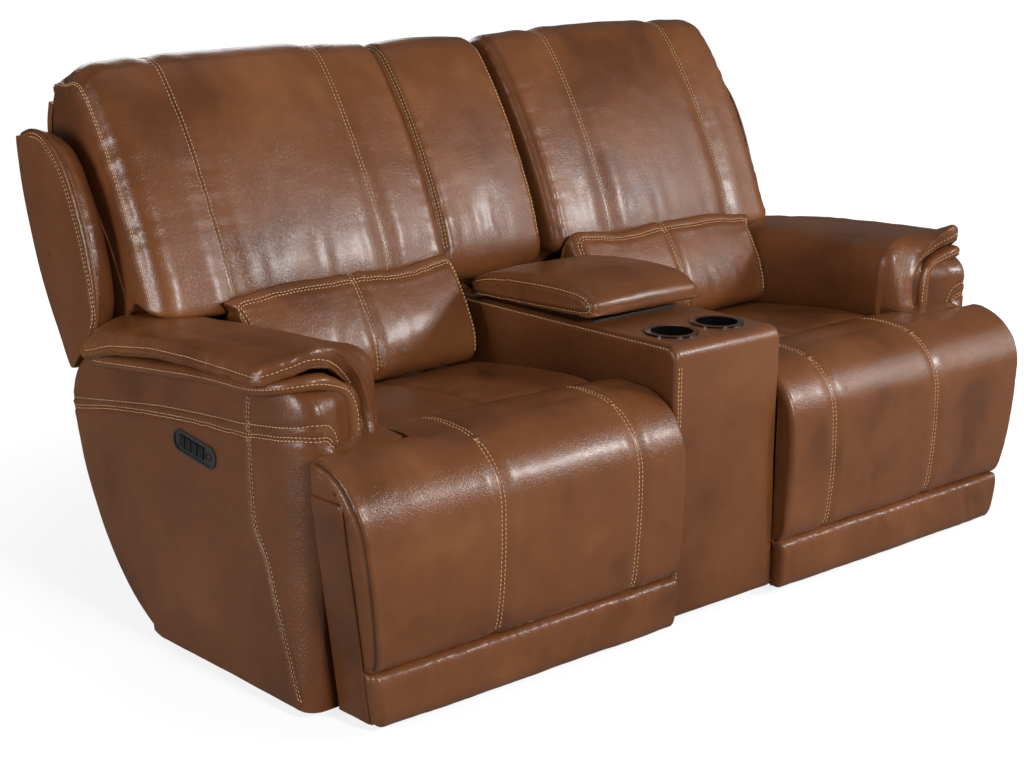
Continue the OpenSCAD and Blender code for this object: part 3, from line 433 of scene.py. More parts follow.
def makeLeather(name, shade=1.0, patch=4.2):
    m, nodes, links = newMaterial(name)
    out = addNode(nodes, "OutputMaterial", (1200, 0))
    skin = addNode(nodes, "BsdfPrincipled", (900, 0))
    skin.inputs["Coat Weight"].default_value = leather["coat"]
    skin.inputs["Coat Roughness"].default_value = leather["coatRough"]
    skin.inputs["Specular IOR Level"].default_value = leather["specular"]
    where = addNode(nodes, "TexCoord", (-1200, 0))
    cloud = addNode(nodes, "TexNoise", (-900, 200), Scale=patch, Detail=3.0, Roughness=0.5, Distortion=0.3)
    fleck = addNode(nodes, "TexNoise", (-900, -50), Scale=30.0, Detail=3.0, Roughness=0.55)
    links.new(where.outputs["Object"], cloud.inputs["Vector"])
    links.new(where.outputs["Object"], fleck.inputs["Vector"])
    ramp = addNode(nodes, "ValToRGB", (-600, 200))
    ramp.color_ramp.interpolation = "EASE"
    tone = lambda key: tuple(c * shade for c in colourOf(*leather[key])[:3]) + (1.0,)
    ramp.color_ramp.elements[0].position, ramp.color_ramp.elements[0].color = 0.3, tone("dark")
    ramp.color_ramp.elements[1].position, ramp.color_ramp.elements[1].color = 0.72, tone("light")
    middle = ramp.color_ramp.elements.new(0.5)
    middle.color = tone("mid")
    links.new(cloud.outputs["Fac"], ramp.inputs["Fac"])
    fleckRange = addNode(nodes, "MapRange", (-600, -50), From_Min=0.3, From_Max=0.7, To_Min=0.94,
                         To_Max=1.05)
    links.new(fleck.outputs["Fac"], fleckRange.inputs["Value"])
    tint = addNode(nodes, "VectorMath", (-300, 150))
    tint.operation = "SCALE"
    links.new(ramp.outputs["Color"], tint.inputs[0])
    links.new(fleckRange.outputs["Result"], tint.inputs["Scale"])
    # painted shade: near the seams the base colour is mixed toward a dark brown, standing for the shade in
    # the seam grooves
    seam = addNode(nodes, "Attribute", (-600, -300))
    seam.attribute_name = "seam"
    seamShadeMix = addNode(nodes, "Mix", (200, 60))
    seamShadeMix.data_type = "RGBA"
    seamShadeMix.inputs[7].default_value = colourOf(*leather["seamDark"])
    seamShadeRange = addNode(nodes, "MapRange", (-300, -300), From_Min=0.0, From_Max=1.0, To_Min=0.0, To_Max=0.85)
    links.new(seam.outputs["Fac"], seamShadeRange.inputs["Value"])
    links.new(seamShadeRange.outputs["Result"], seamShadeMix.inputs[0])
    links.new(tint.outputs["Vector"], seamShadeMix.inputs[6])
    links.new(seamShadeMix.outputs[2], skin.inputs["Base Color"])
    # pebbled grain, fine pores and soft hand-sized unevenness
    pebble = addNode(nodes, "TexVoronoi", (-900, -650), Scale=leather["grainSize"], Randomness=1.0)
    pebble.feature = "SMOOTH_F1"
    pebble.inputs["Smoothness"].default_value = 0.5
    bend = addNode(nodes, "TexNoise", (-1150, -650), Scale=120.0, Detail=2.0)
    links.new(where.outputs["Object"], bend.inputs["Vector"])
    mixPlace = addNode(nodes, "MixRGB", (-1000, -850))
    mixPlace.blend_type = "LINEAR_LIGHT"
    mixPlace.inputs["Fac"].default_value = 0.006
    links.new(where.outputs["Object"], mixPlace.inputs["Color1"])
    links.new(bend.outputs["Color"], mixPlace.inputs["Color2"])
    links.new(mixPlace.outputs["Color"], pebble.inputs["Vector"])
    pores = addNode(nodes, "TexNoise", (-900, -900), Scale=leather["poreSize"], Detail=3.0, Roughness=0.6)
    links.new(where.outputs["Object"], pores.inputs["Vector"])
    broad = addNode(nodes, "TexNoise", (-900, -1150), Scale=leather["broadSize"], Detail=3.0, Roughness=0.55)
    links.new(where.outputs["Object"], broad.inputs["Vector"])
    bumpBroad = addNode(nodes, "Bump", (300, -900), Strength=leather["broad"], Distance=0.004)
    bumpGrain = addNode(nodes, "Bump", (500, -700), Strength=leather["grain"], Distance=0.0007)
    bumpGrain.invert = True
    bumpPores = addNode(nodes, "Bump", (700, -500), Strength=leather["pores"], Distance=0.0004)
    links.new(broad.outputs["Fac"], bumpBroad.inputs["Height"])
    links.new(pebble.outputs["Distance"], bumpGrain.inputs["Height"])
    links.new(pores.outputs["Fac"], bumpPores.inputs["Height"])
    links.new(bumpBroad.outputs["Normal"], bumpGrain.inputs["Normal"])
    links.new(bumpGrain.outputs["Normal"], bumpPores.inputs["Normal"])
    links.new(bumpPores.outputs["Normal"], skin.inputs["Normal"])
    roughRange = addNode(nodes, "MapRange", (200, -250), From_Min=0.3, From_Max=0.75,
                         To_Min=leather["rough"] - 0.03, To_Max=leather["rough"] + 0.05)
    links.new(cloud.outputs["Fac"], roughRange.inputs["Value"])
    links.new(roughRange.outputs["Result"], skin.inputs["Roughness"])
    links.new(skin.outputs["BSDF"], out.inputs["Surface"])
    return m


def makePlain(name, colour, rough, metallic=0.0, grainScale=300.0, grain=0.1, variation=0.12, coat=0.0,
              stretch=(1, 1, 1)):
    m, nodes, links = newMaterial(name)
    out = addNode(nodes, "OutputMaterial", (900, 0))
    body = addNode(nodes, "BsdfPrincipled", (600, 0))
    body.inputs["Metallic"].default_value = metallic
    body.inputs["Coat Weight"].default_value = coat
    where = addNode(nodes, "TexCoord", (-900, 0))
    turn = addNode(nodes, "Mapping", (-700, 0))
    turn.inputs["Scale"].default_value = stretch
    links.new(where.outputs["Object"], turn.inputs["Vector"])
    cloud = addNode(nodes, "TexNoise", (-500, 100), Scale=18.0, Detail=4.0)
    grit = addNode(nodes, "TexNoise", (-500, -200), Scale=grainScale, Detail=3.0)
    links.new(turn.outputs["Vector"], cloud.inputs["Vector"])
    links.new(turn.outputs["Vector"], grit.inputs["Vector"])
    ramp = addNode(nodes, "ValToRGB", (-250, 100))
    c = colourOf(*colour)
    ramp.color_ramp.elements[0].position, ramp.color_ramp.elements[1].position = 0.3, 0.7
    ramp.color_ramp.elements[0].color = tuple(v * (1 - variation) for v in c[:3]) + (1.0,)
    ramp.color_ramp.elements[1].color = tuple(min(1.0, v * (1 + variation)) for v in c[:3]) + (1.0,)
    links.new(cloud.outputs["Fac"], ramp.inputs["Fac"])
    links.new(ramp.outputs["Color"], body.inputs["Base Color"])
    roughRange = addNode(nodes, "MapRange", (-250, -150), To_Min=max(0.03, rough - 0.07),
                         To_Max=rough + 0.07)
    links.new(grit.outputs["Fac"], roughRange.inputs["Value"])
    links.new(roughRange.outputs["Result"], body.inputs["Roughness"])
    bump = addNode(nodes, "Bump", (200, -300), Strength=grain, Distance=0.0005)
    links.new(grit.outputs["Fac"], bump.inputs["Height"])
    links.new(bump.outputs["Normal"], body.inputs["Normal"])
    links.new(body.outputs["BSDF"], out.inputs["Surface"])
    return m


hide = makeLeather("brownLeather")
shellHide = makeLeather("brownLeatherShell", 0.92, 3.0)
threadFinish = makePlain("tanThread", (222, 174, 124), 0.7, grainScale=1500.0, grain=0.3)
weltHide = makeLeather("weltLeather", 0.85, 9.0)
finishes = {
    "steel": makePlain("blackSteel", (44, 45, 48), 0.42, 0.6, 700.0, 0.15),
    "timber": makePlain("pineTimber", (196, 160, 112), 0.65, 0.0, 60.0, 0.25, 0.2, stretch=(1, 6, 6)),
    "black_plastic": makePlain("glossBlackPlastic", (15, 15, 17), 0.12, 0.0, 900.0, 0.03, 0.1, coat=0.3),
    "dark_plastic": makePlain("darkPlastic", (26, 26, 28), 0.36, 0.0, 900.0, 0.25),
    "panel_trim": makePlain("panelTrim", (104, 106, 110), 0.2, 0.9, 900.0, 0.04),
}
springFinish = makePlain("springWire", (120, 122, 125), 0.35, 0.9, 900.0, 0.05)
iconFinish = makePlain("iconPaint", (205, 208, 212), 0.5, 0.0, 900.0, 0.02, 0.02)
print("finishes made")


def makePiece(name, skin, material, body=None, between=None, replace=(),
              threads=True, key=None):
    v, f = skin["v"], skin["f"]
    mesh = bpy.data.meshes.new(name)
    mesh.from_pydata(toRow(v).tolist(), [], f.tolist())
    mesh.validate()
    # the seam attribute carries the painted shade along the seams
    if "seam" in skin:
        a = mesh.attributes.new("seam", "FLOAT", "POINT")
        a.data.foreach_set("value", skin["seam"].astype(np.float32))
    mesh.materials.append(material)
    mesh.polygons.foreach_set("use_smooth", [True] * len(mesh.polygons))
    mesh.set_sharp_from_angle(angle=math.radians(stitch["sharp"]))
    mesh.update()
    piece = bpy.data.objects.new(name, mesh)
    bpy.context.scene.collection.objects.link(piece)
    if threads and skin.get("threads"):
        tree = BVHTree.FromPolygons([Vector(p) for p in v], f.tolist())
        sewThreads(key or (body,), skin, tree)
    if replace:
        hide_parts(*replace)
    if between:
        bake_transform(piece)
    else:
        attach(piece, body)
    return piece


# upper back cushions
upperBack = {"inner": 162.5, "outer": 898.0, "seams": (330.0, 730.0), "cornerSeam": 891.0,
             "cornerRows": (-5.0, -9.6), "crown": 12.0, "front": 202.0, "low": 242.0,
             "overArm": (716.0, 28.0, 46.0, 20.0)}
# overArm: where the cushion climbs over the arm pad, in what run, its rise behind and its drop in front


def makeUpperBack(side, s):
    u = upperBack
    behind = eased([(30, 600), (34, 650), (8, 712), (-16, 748), (boards["back"], 777)])
    outline = upBack(loop([(boards["back"], 248), (boards["back"], 560)], behind,
                          swept((boards["back"], 779), (-36, 834), (-146, 838), (-181, 765)),
                          swept((-181, 765), (-u["front"] - 14, 640), (-u["front"] - 6, 380), (-180, 272)),
                          swept((-180, 272), (-174, 250), (-160, 244), (-136, 243), 8)))
    local = backLocal(outline)
    weight = np.clip((-local[:, 0] - 40) / 30, 0, 1)
    start, run, behindLift, frontDrop = u["overArm"]

    def overArm(x, o):
        k = min(1.0, max(0.0, (x - start) / run))
        k = k * k * (3 - 2 * k)
        if k == 0:
            return o
        q = backLocal(o)
        behind = np.clip((q[:, 0] + 172) / 130, 0, 1)
        lift = behindLift * behind - frontDrop * (1 - behind)
        q[:, 1] += k * lift * np.clip(1 - (q[:, 1] - u["low"]) / 170, 0, 1)
        return upBack(q)
    skin = loft(outline, upBack([(-95, 310), (-100, 560), (-108, 735)]), u["inner"], u["outer"],
        ends=(30, 58), crown=u["crown"], weight=weight, step=6.0, bulge=2.0, capRows=9, change=overArm)
    skin = mirrored(skin, s)
    soften(skin, amount=2.4, scale=150, fine=0.5, seed=3 + s)
    front, over = upBack([(-176, 262)])[0], upBack([(-40, 780)])[0]
    for k, x in enumerate(u["seams"]):
        sewAlong(skin, s, x, over, front, depth=5.0, width=26, pucker=0.6, pitch=26, rows=wideRow,
                 seed=k + s, puff=1.5)
    sewAlong(skin, s, u["cornerSeam"], over, front, depth=3.4, width=9, pucker=2.6, pitch=17,
             rows=[row * s for row in u["cornerRows"]], seed=8 + s, reach=40, dark=0.9)
    sewAlong(skin, s, u["inner"] + 12, over, front, depth=1.6, width=8, pucker=1.6, pitch=15, rows=(),
             seed=9 + s, reach=30, dark=0.5)
    low = upBack([(-186, 300)])[0]
    for x in (240, 480, 640, 800):
        crinkle(skin, np.array([s * x, low[0], low[1]]), size=(90, 70, 60), amount=0.8,
                direction=(s, 0.2, 0), pitch=24, seed=x)
    makePiece(f"{side}_upper_back", skin, hide, f"{side}_back", replace=[f"{side}_back_cushion"])


def backLocal(points):
    y, z = points[:, 0] - plan["hingeBack"], points[:, 1] - plan["hingeUp"]
    return np.stack([y * leanCos - z * leanSin, y * leanSin + z * leanCos], 1)


def flipped(skin, s):  # seams are read from the right-hand form
    return {"rings": skin["rings"] * [s, 1, 1], "xs": skin["xs"]}


def sewAlong(skin, s, x, start, end, **look):  # x is a place across on the right-hand form
    sew(skin, seamAlong(flipped(skin, s), x, start, end) * [s, 1, 1], **look)


# lumbar cushions
lumbar = {"inner": 174.0, "outer": 746.0, "seam": 458.0, "crown": 9.0, "flare": 24.0}


def makeLumbar(side, s):
    u = lumbar
    front = eased([(-184, 238), (-190, 256), (-199, 265), (-209, 258), (-218, 226), (-222, 160), (-216, 100),
                   (-200, 58), (-172, 42), (-142, 42)])
    outline = upBack(loop([(boards["back"], 47), (boards["back"], 236), (-184, 238)], front))
    local = backLocal(outline)
    weight = np.clip((-local[:, 0] - 60) / 60, 0, 1)

    def wavy(x, o):
        q = backLocal(o)
        top = np.clip((q[:, 1] - 150) / 110, 0, 1) * np.clip((-q[:, 0] - 120) / 50, 0, 1)
        rise = 16 * max(0.0, (420 - x) / 240) ** 2
        q[:, 1] += top * (4 * math.sin(x / 70) + 3 * math.sin(x / 33 + 1) + rise)
        return upBack(q)

    def spread(x, z):  # the outer top corner leans outward
        return -u["flare"] * np.clip((x - 660) / 80, 0, 1) * np.clip((z - 632) / 20, 0, 1)
    skin = mirrored(loft(outline, upBack([(-105, 80), (-120, 215)]), u["inner"], u["outer"], ends=(32, 15),
                         crown=u["crown"], weight=weight, step=6.0, bulge=0.0, capRows=8, change=wavy,
                         flare=spread), s)
    soften(skin, amount=2.0, scale=110, fine=0.5, seed=5 + s)
    flat = flipped(skin, s)
    top, low = upBack([(-199, 265)])[0], upBack([(-190, 60)])[0]
    crest = upBack([(-212, 248)])[0]
    sewAlong(skin, s, u["seam"], top, low, depth=4.5, width=14, pucker=1.0, pitch=26, seed=s)
    across = seamAcross(flat, crest, u["inner"] + 22, u["outer"] - 12)
    rim = np.vstack([seamAlong(flat, u["inner"] + 13, crest, low)[::-1], across,
                     seamAlong(flat, u["outer"] - 8, crest, low)])
    rim = spaced(eased(spaced(rim, 30), 8), 5)
    sew(skin, rim * [s, 1, 1], depth=2.6, width=8, pucker=1.2, pitch=12, rows=(-3.6, 3.6), seed=4 + s,
        reach=26)
    low = upBack([(-205, 90)])[0]
    for x in (230, 360, 560, 680):
        crinkle(skin, np.array([s * x, low[0], low[1]]), size=(80, 60, 60), amount=1.2,
                direction=(s, 0.1, 0.1), pitch=22, seed=x)
    makePiece(f"{side}_lumbar", skin, hide, f"{side}_back", replace=[f"{side}_lumbar_cushion"])


# seat and footrest: three leathers that meet without a gap
chaise = {"inner": 157.5, "seams": (290.0, 640.0), "roll": (100.0, 365.0, 135.0), "crown": 3.5,
          "split": 111.75, "outer": 747.5, "wing": 964.0}
# dark sets the strength of the painted shade along these seams
chaiseSeam = {"depth": 3.0, "width": 16, "pucker": 0.3, "pitch": 30, "crease": 0.3, "dark": 0.3}
rollCore = [(100, 100), (100, 365), (420, 365)]


def seatBend(side, s):  # the base and the footrest's carrier that the seat's leather lies between, with a point on each
    return ("base", f"{side}_carrier", toRow([s * 450, 205, 490]), toRow([s * 450, 66, 490]))


def footBend(side, s):  # the footrest's carrier and the footrest that the foot's leather lies between, with a point on each
    return (f"{side}_carrier", f"{side}_footrest", toRow([s * 450, 78, 500]), toRow([s * 450, -35, 240]))


bends = {"seat": seatBend, "foot": footBend}


def rollPoint(angle):
    y, z, r = chaise["roll"]
    return (y + r * math.cos(math.radians(angle)), z + r * math.sin(math.radians(angle)))


def rollLine(x, start, end):  # along the roll at one place across
    c = chaise
    t = (2 * x - c["inner"] - c["outer"]) / (c["outer"] - c["inner"])
    bend = arcLine(c["roll"][:2], c["roll"][2] - c["crown"] * t * t, start, end, 10)
    return np.column_stack([np.full(len(bend), x), bend])


def footOut(z):
    return np.minimum(chaise["wing"], 908 + 56 * (np.asarray(z) - 15) / 420)


def frontOutline(rear, splitAngle):
    start = [(boards["foot"], 435.5)]
    if rear >= 60:
        start += [(rear, 435.5), (rear, 450)]
    front = eased([(-35, 365), (-36, 300), (-33, 230), (-26, 165), (-19, 138), (-7, 123), (0, 121)])
    return loop(start, arcLine(chaise["roll"][:2], chaise["roll"][2], splitAngle, 180, 40), front[1:],
                [(boards["foot"], 121)], step=5.0)


def hiddenWall(o, rear):  # points behind the leather, which don't turn its edge
    return ((o[:, 0] > 14.0) & (o[:, 1] < 480)) | (np.abs(o[:, 0] - rear) < 0.5) & (o[:, 1] < 485)


def frontWeight(o):
    w = np.interp(o[:, 1], [121, 140, 180, 260, 600], [0.15, 0.4, 0.75, 1, 1])
    return np.where(o[:, 0] > 14.0, np.where(o[:, 1] > 437, w, 0), w)


def makeChaise(side, s):
    c = chaise
    split = c["split"]
    sy, sz = rollPoint(split)
    # from the seat's crease forward over the top
    crest = eased([(218, 462), (214, 476), (204, 489), (186, 497), (160, 501.5), (130, 502.5), (100, 500)])
    top = loop([(64, 446), (216, 446), (218, 462)], crest,
               arcLine(c["roll"][:2], c["roll"][2], 90, split, 12)[1:], [(sy + 2, 470), (sy + 6, 452)],
               step=5.0)
    w = np.where((top[:, 1] > 474) | (top[:, 0] > 90), 1.0, 0.0) * (top[:, 1] > 452)

    def sag(x, o):
        t = (2 * x - c["inner"] - c["outer"]) / (c["outer"] - c["inner"])
        q = o.copy()
        back = np.clip((q[:, 0] - 150) / 60, 0, 1)
        q[:, 0] += back * (14 * math.sin(2.2 * t + 0.4) - 6)
        return q
    skin = mirrored(loft(top, rollCore, c["inner"], c["outer"], ends=(14, 0), crown=c["crown"], weight=w,
                         step=5.0, bulge=0.0, capRows=4, capCore=[(70, 470), (205, 472)], change=sag,
                         open=w == 0), s)
    soften(skin, amount=1.5, scale=130, fine=0.3, seed=7)
    flat = flipped(skin, s)
    for x in c["seams"]:
        line = seamAlong(flat, x, (214, 474), (sy, sz))
        whole = np.vstack([line, rollLine(x, split + 1, split + 30)])
        sew(skin, whole * [s, 1, 1], seed=x, sewn=line * [s, 1, 1], **chaiseSeam)
    makePiece(f"{side}_seat_front", skin, hide, between=bends["seat"](side, s),
              replace=[f"{side}_seat_cushion"], key=("seat", side))
    # down the front of the footrest
    o = frontOutline(sy, split)
    skin = mirrored(loft(o, rollCore, c["inner"], c["outer"], ends=(14, 0), crown=c["crown"],
            weight=frontWeight(o), step=5.0, bulge=0.0, capRows=4,
            capCore=[(6, 135), (-8, 230), (-10, 365), (8, 420), (30, 455)],
            open=hiddenWall(o, sy)), s)
    soften(skin, amount=1.5, scale=130, fine=0.3, seed=7)
    flat = flipped(skin, s)
    for x in c["seams"]:
        line = seamAlong(flat, x, (sy, sz), (-12, 128))
        whole = np.vstack([rollLine(x, split - 30, split - 1), line])
        sew(skin, whole * [s, 1, 1], seed=x, sewn=line * [s, 1, 1], **chaiseSeam)
    makePiece(f"{side}_foot_front", skin, hide, between=bends["foot"](side, s),
              replace=[f"{side}_footrest_pad"], key=("foot", side))
    # the outer end in front of the arm
    o = frontOutline(104.0, 88.4)

    def flareIn(x, z):
        return (c["wing"] - footOut(z)) * np.clip((x - 760) / 204, 0, 1)
    w = np.where((o[:, 0] > 14.0) & (o[:, 1] < 437), 0.0, 1.0)
    skin = mirrored(loft(o, rollCore, c["outer"], c["wing"], ends=(0, 15), crown=0.01, weight=w, step=5.0,
            bulge=2.0, capRows=6, capCore=[(0, 135), (-10, 230), (-10, 365), (4, 415), (34, 452), (92, 467)],
            change=crownShift, flare=flareIn, open=hiddenWall(o, 104.0)), s)
    soften(skin, amount=1.5, scale=130, fine=0.3, seed=7)
    sewAlong(skin, s, c["wing"] - 4.0, (100, 500), (-12, 128), depth=2.0, width=5, pucker=1.0, pitch=14,
             rows=(), seed=3, reach=22, dark=1.0)
    makePiece(f"{side}_foot_wing", skin, hide, f"{side}_footrest")


def crownShift(x, o):  # carries on the crown of the footrest's front
    k = chaise["crown"]
    q = o.copy()
    reach = nearestOn(o, rollCore) - o
    far = np.maximum(np.linalg.norm(reach, axis=1), 1e-6)
    return q + reach / far[:, None] * (k * frontWeight(o))[:, None]


for side, s in sides:
    makeUpperBack(side, s)
    makeLumbar(side, s)
    makeChaise(side, s)
print("back and seat cushions made")


# rear part of the seat, behind the crease
seatRear = {"inner": 157.5, "outer": 747.5, "middle": 452.0, "dip": 5.0}


def makeSeatRear(side, s):
    r = seatRear
    top = eased([(600, 438), (584, 455), (520, 466), (400, 480), (300, 486), (240, 484), (212, 470),
                 (202, 446)])
    outline = loop([(200, 392), (600, 392), (600, 438)], top)

    def dip(x, o):  # sat in along the middle
        low = -r["dip"] * np.exp(-((x - r["middle"]) / 190) ** 2)
        return o + np.column_stack([np.zeros(len(o)), low * (o[:, 1] > 430)])
    skin = mirrored(loft(outline, [(250, 430), (550, 425)], r["inner"], r["outer"], ends=(26, 26), crown=5.0,
                         weight=np.where(outline[:, 1] > 400, 1.0, 0.0), step=6.0, bulge=0.0, capRows=6,
                         change=dip), s)
    soften(skin, amount=2.6, scale=120, fine=0.7, seed=9)
    sewAlong(skin, s, r["middle"], (590, 452), (240, 484), depth=2.0, width=16, pucker=1.2, pitch=40,
             rows=(), seed=5)
    makePiece(f"{side}_seat_rear", skin, hide, "base")


# padded band along the foot
footBand = {"low": 11.5, "high": 119.5, "inner": 157.5, "outer": 910.0, "side": (962.0, 970.5)}


def makeFootBand(side, s):
    b = footBand
    front = eased([(boards["foot"], b["high"]), (4, 121.5), (-10, 119.5), (-18, 110), (-20.5, 94), (-19, 62),
                   (-16, 34), (-9, 17), (1, b["low"]), (10, b["low"] + 0.5)])
    outline = loop([(boards["foot"], b["low"] + 4), (boards["foot"], b["high"])], front)
    w = np.where(outline[:, 0] > 13, 0.0, 1.0)

    def flareIn(x, z):
        return -(footOut(z) - 908) * np.clip((x - 760) / 148, 0, 1)
    skin = mirrored(loft(outline, [(4, 30), (4, 100)], b["inner"], b["outer"], ends=(12, 14), crown=1.5,
                         weight=w, step=5.0, bulge=1.0, capRows=4, flare=flareIn), s)
    soften(skin, amount=1.2, scale=90, fine=0.5, seed=4)
    flat = flipped(skin, s)
    sew(skin, seamAcross(flat, (-10, 119), 166, 898) * [s, 1, 1], depth=0.6, width=5, pucker=2.6, pitch=11,
        rows=(), seed=6, reach=26, dark=0.0)
    for k, x in enumerate((210, 330, 470, 590, 700, 820)):
        crinkle(skin, np.array([s * x, -12, 70]), size=(60, 40, 50), amount=1.6, direction=(s, 0, 0.35),
                pitch=20, seed=k)
    makePiece(f"{side}_foot_band", skin, hide, f"{side}_footrest", replace=[f"{side}_footrest_band"])
    # leather on the boxed end that stands in front of the arm
    o = loop(eased([(18, 16), (100, 16), (104, 20)]),
             [(104, 430), (101, 434), (18, 434), (15, 430), (15, 20)])
    skin = mirrored(loft(o, [(60, 60), (60, 390)], *b["side"], ends=(0, 6), crown=0.0, weight=1.0, step=3.0,
                         bulge=1.5, capRows=9, flare=lambda x, z: chaise["wing"] - footOut(z)), s)
    soften(skin, amount=0.8, scale=120, fine=0.3, seed=4)
    makePiece(f"{side}_foot_side", skin, shellHide, f"{side}_footrest")


for side, s in sides:
    makeSeatRear(side, s)
    makeFootBand(side, s)
print("seat rears and foot bands made")


# arms
arm = {"front": 114.0, "inner": 750.0, "outer": 970.0, "top": 605.0, "low": 17.0,
       "cornerWide": (34.0, 16.0), "cornerDeep": (30.0, 70.0)}
# the corner's rounding at the floor, and what is added higher up
armLines = {  # across, back, up
    "bandLow": [(970, 912, 424), (970, 719, 460), (970, 480, 488), (970, 308, 499), (969, 262, 506),
        (964, 200, 514), (955, 155, 520), (938, 128, 522), (917, 125, 520), (907, 127, 515),
        (895, 131, 498)],
    "bandHigh": [(970, 910, 444), (970, 609, 491), (970, 434, 510), (970, 307, 520), (969, 257, 527),
        (967, 210, 533), (956, 156, 541), (938, 127, 548), (908, 126, 543), (892, 131, 525),
        (884, 133, 498)],
    "upright": [(970, 284, 575), (970, 288, 523), (970, 284, 500), (970, 274, 347), (970, 238, 283),
        (970, 188, 145), (970, 144, 30)],
    "lip": [(1000.5, 225, 620), (993, 208, 620), (978, 196, 626), (958, 176, 636), (945, 158, 646),
        (930, 146, 653), (902, 140, 650), (882, 150, 641), (862, 164, 627), (840, 173, 609), (825, 178, 592),
        (812, 179, 563), (806, 176, 532), (803, 162, 500)],
    "rim": [(984, 800, 547), (987, 761, 549), (988, 575, 571), (988, 402, 589), (988, 277, 595),
        (985, 228, 600), (975, 190, 607), (957, 160, 614), (931, 142, 618), (905, 140, 615), (886, 146, 608),
        (862, 153, 599), (843, 156, 588), (830, 157, 569), (824, 156, 544), (822, 156, 514),
        (821, 156, 498)],
}
# how far the arm's front steps back behind the pad's front, by the place across
frontRecess = ([750, 770, 800, 822, 843, 870, 888, 935], [107, 76, 58, 46, 40, 24, 13, 0])


def armTop(y):
    return np.where(np.asarray(y) < 159, 605.0, 605 - 43 * (np.asarray(y, float) - 159) / 652)


def makeArm(side, s):
    front, low, top = arm["front"], arm["low"], arm["top"]
    outline = loop([(front, low), (604, low)], swept((604, low), (704, 30), (880, 210), (914, 430)),
                   swept((914, 430), (916, 500), (870, 545), (811, 562)), [(811, 562), (front + 45, top)],
                   arcLine((front + 45, top - 45), 45, 90, 180, 12), step=7.0)
    w = np.where(outline[:, 1] < 24, 0.1, 1.0)

    def roundFront(x, o):  # the front's outer corner is broadly rounded, less so near the floor
        q = o.copy()
        k = np.clip((o[:, 1] - low) / 290, 0, 1)
        k = k * k * (3 - 2 * k)
        wide, deep = (arm[key][0] + arm[key][1] * k for key in ("cornerWide", "cornerDeep"))
        run = np.clip((x - (arm["outer"] - wide)) / wide, 0, 0.999)
        high = np.clip((o[:, 1] - 250) / 200, 0, 1)
        above = np.clip((o[:, 1] - 498) / 6, 0, 1)
        back = deep * (1 - np.sqrt(1 - run ** 2)) + 4 * high
        back += above * np.interp(x, *frontRecess)
        q[:, 0] += back * np.clip(1 - (o[:, 0] - front) / 330, 0, 1)
        return q
    skin = mirrored(loft(outline, [(320, 330), (650, 400)], arm["inner"], arm["outer"], ends=(3, 18),
                         crown=0.0, weight=w, step=6.0, bulge=2.0, capRows=40, change=roundFront), s)
    soften(skin, amount=1.3, scale=170, fine=0.4, seed=6)
    tree = BVHTree.FromPolygons([Vector(p) for p in skin["v"]], skin["f"].tolist())

    def laid(points):
        line = []
        for x, y, z in spaced(eased(points), 6):
            hit = tree.ray_cast(Vector((s * 1200, y, z)), Vector((-s, 0, 0))) if x > 969.5 else (None,)
            line.append(hit[0] if hit[0] is not None else tree.find_nearest(Vector((s * x, y, z)))[0])
        return np.array(line)
    sew(skin, laid(armLines["bandLow"]), depth=1.8, width=7, pucker=0.4, pitch=40, rows=doubleRow, seed=1)
    sew(skin, laid(armLines["bandHigh"]), depth=1.3, width=6, pucker=0.4, pitch=40, rows=(0.0,), seed=2,
        dark=0.4)
    sew(skin, laid(armLines["upright"]), depth=2.2, width=8, pucker=0.6, pitch=40, rows=doubleRow, seed=3)
    makePiece(f"{side}_arm", skin, shellHide, "base", replace=[f"{side}_arm_cover"])


# arm pads: one leather from the outer lip over the top and down the inner side
padSection = [(751, -101), (743, -92), (740.5, -60), (742, -20), (747, 12), (762, 36), (795, 54), (850, 61),
              (905, 60), (955, 50), (985, 34), (997, 20), (1000.5, 7), (998, -3), (988, -8), (968, -6),
              (950, 2)]
# the front's lower edge, seen from above
padFoot = [(748, 222), (750, 202), (758, 180), (772, 165), (788, 159), (803, 162)]
lipRise = ([225, 299, 428, 556, 711, 788], [13, 17, 24, 25, 11, -8])
armPad = {"rear": 806, "front": 225, "rows": 86, "turns": 44, "innerDrop": 34, "puff": 9, "welt": 1.6}


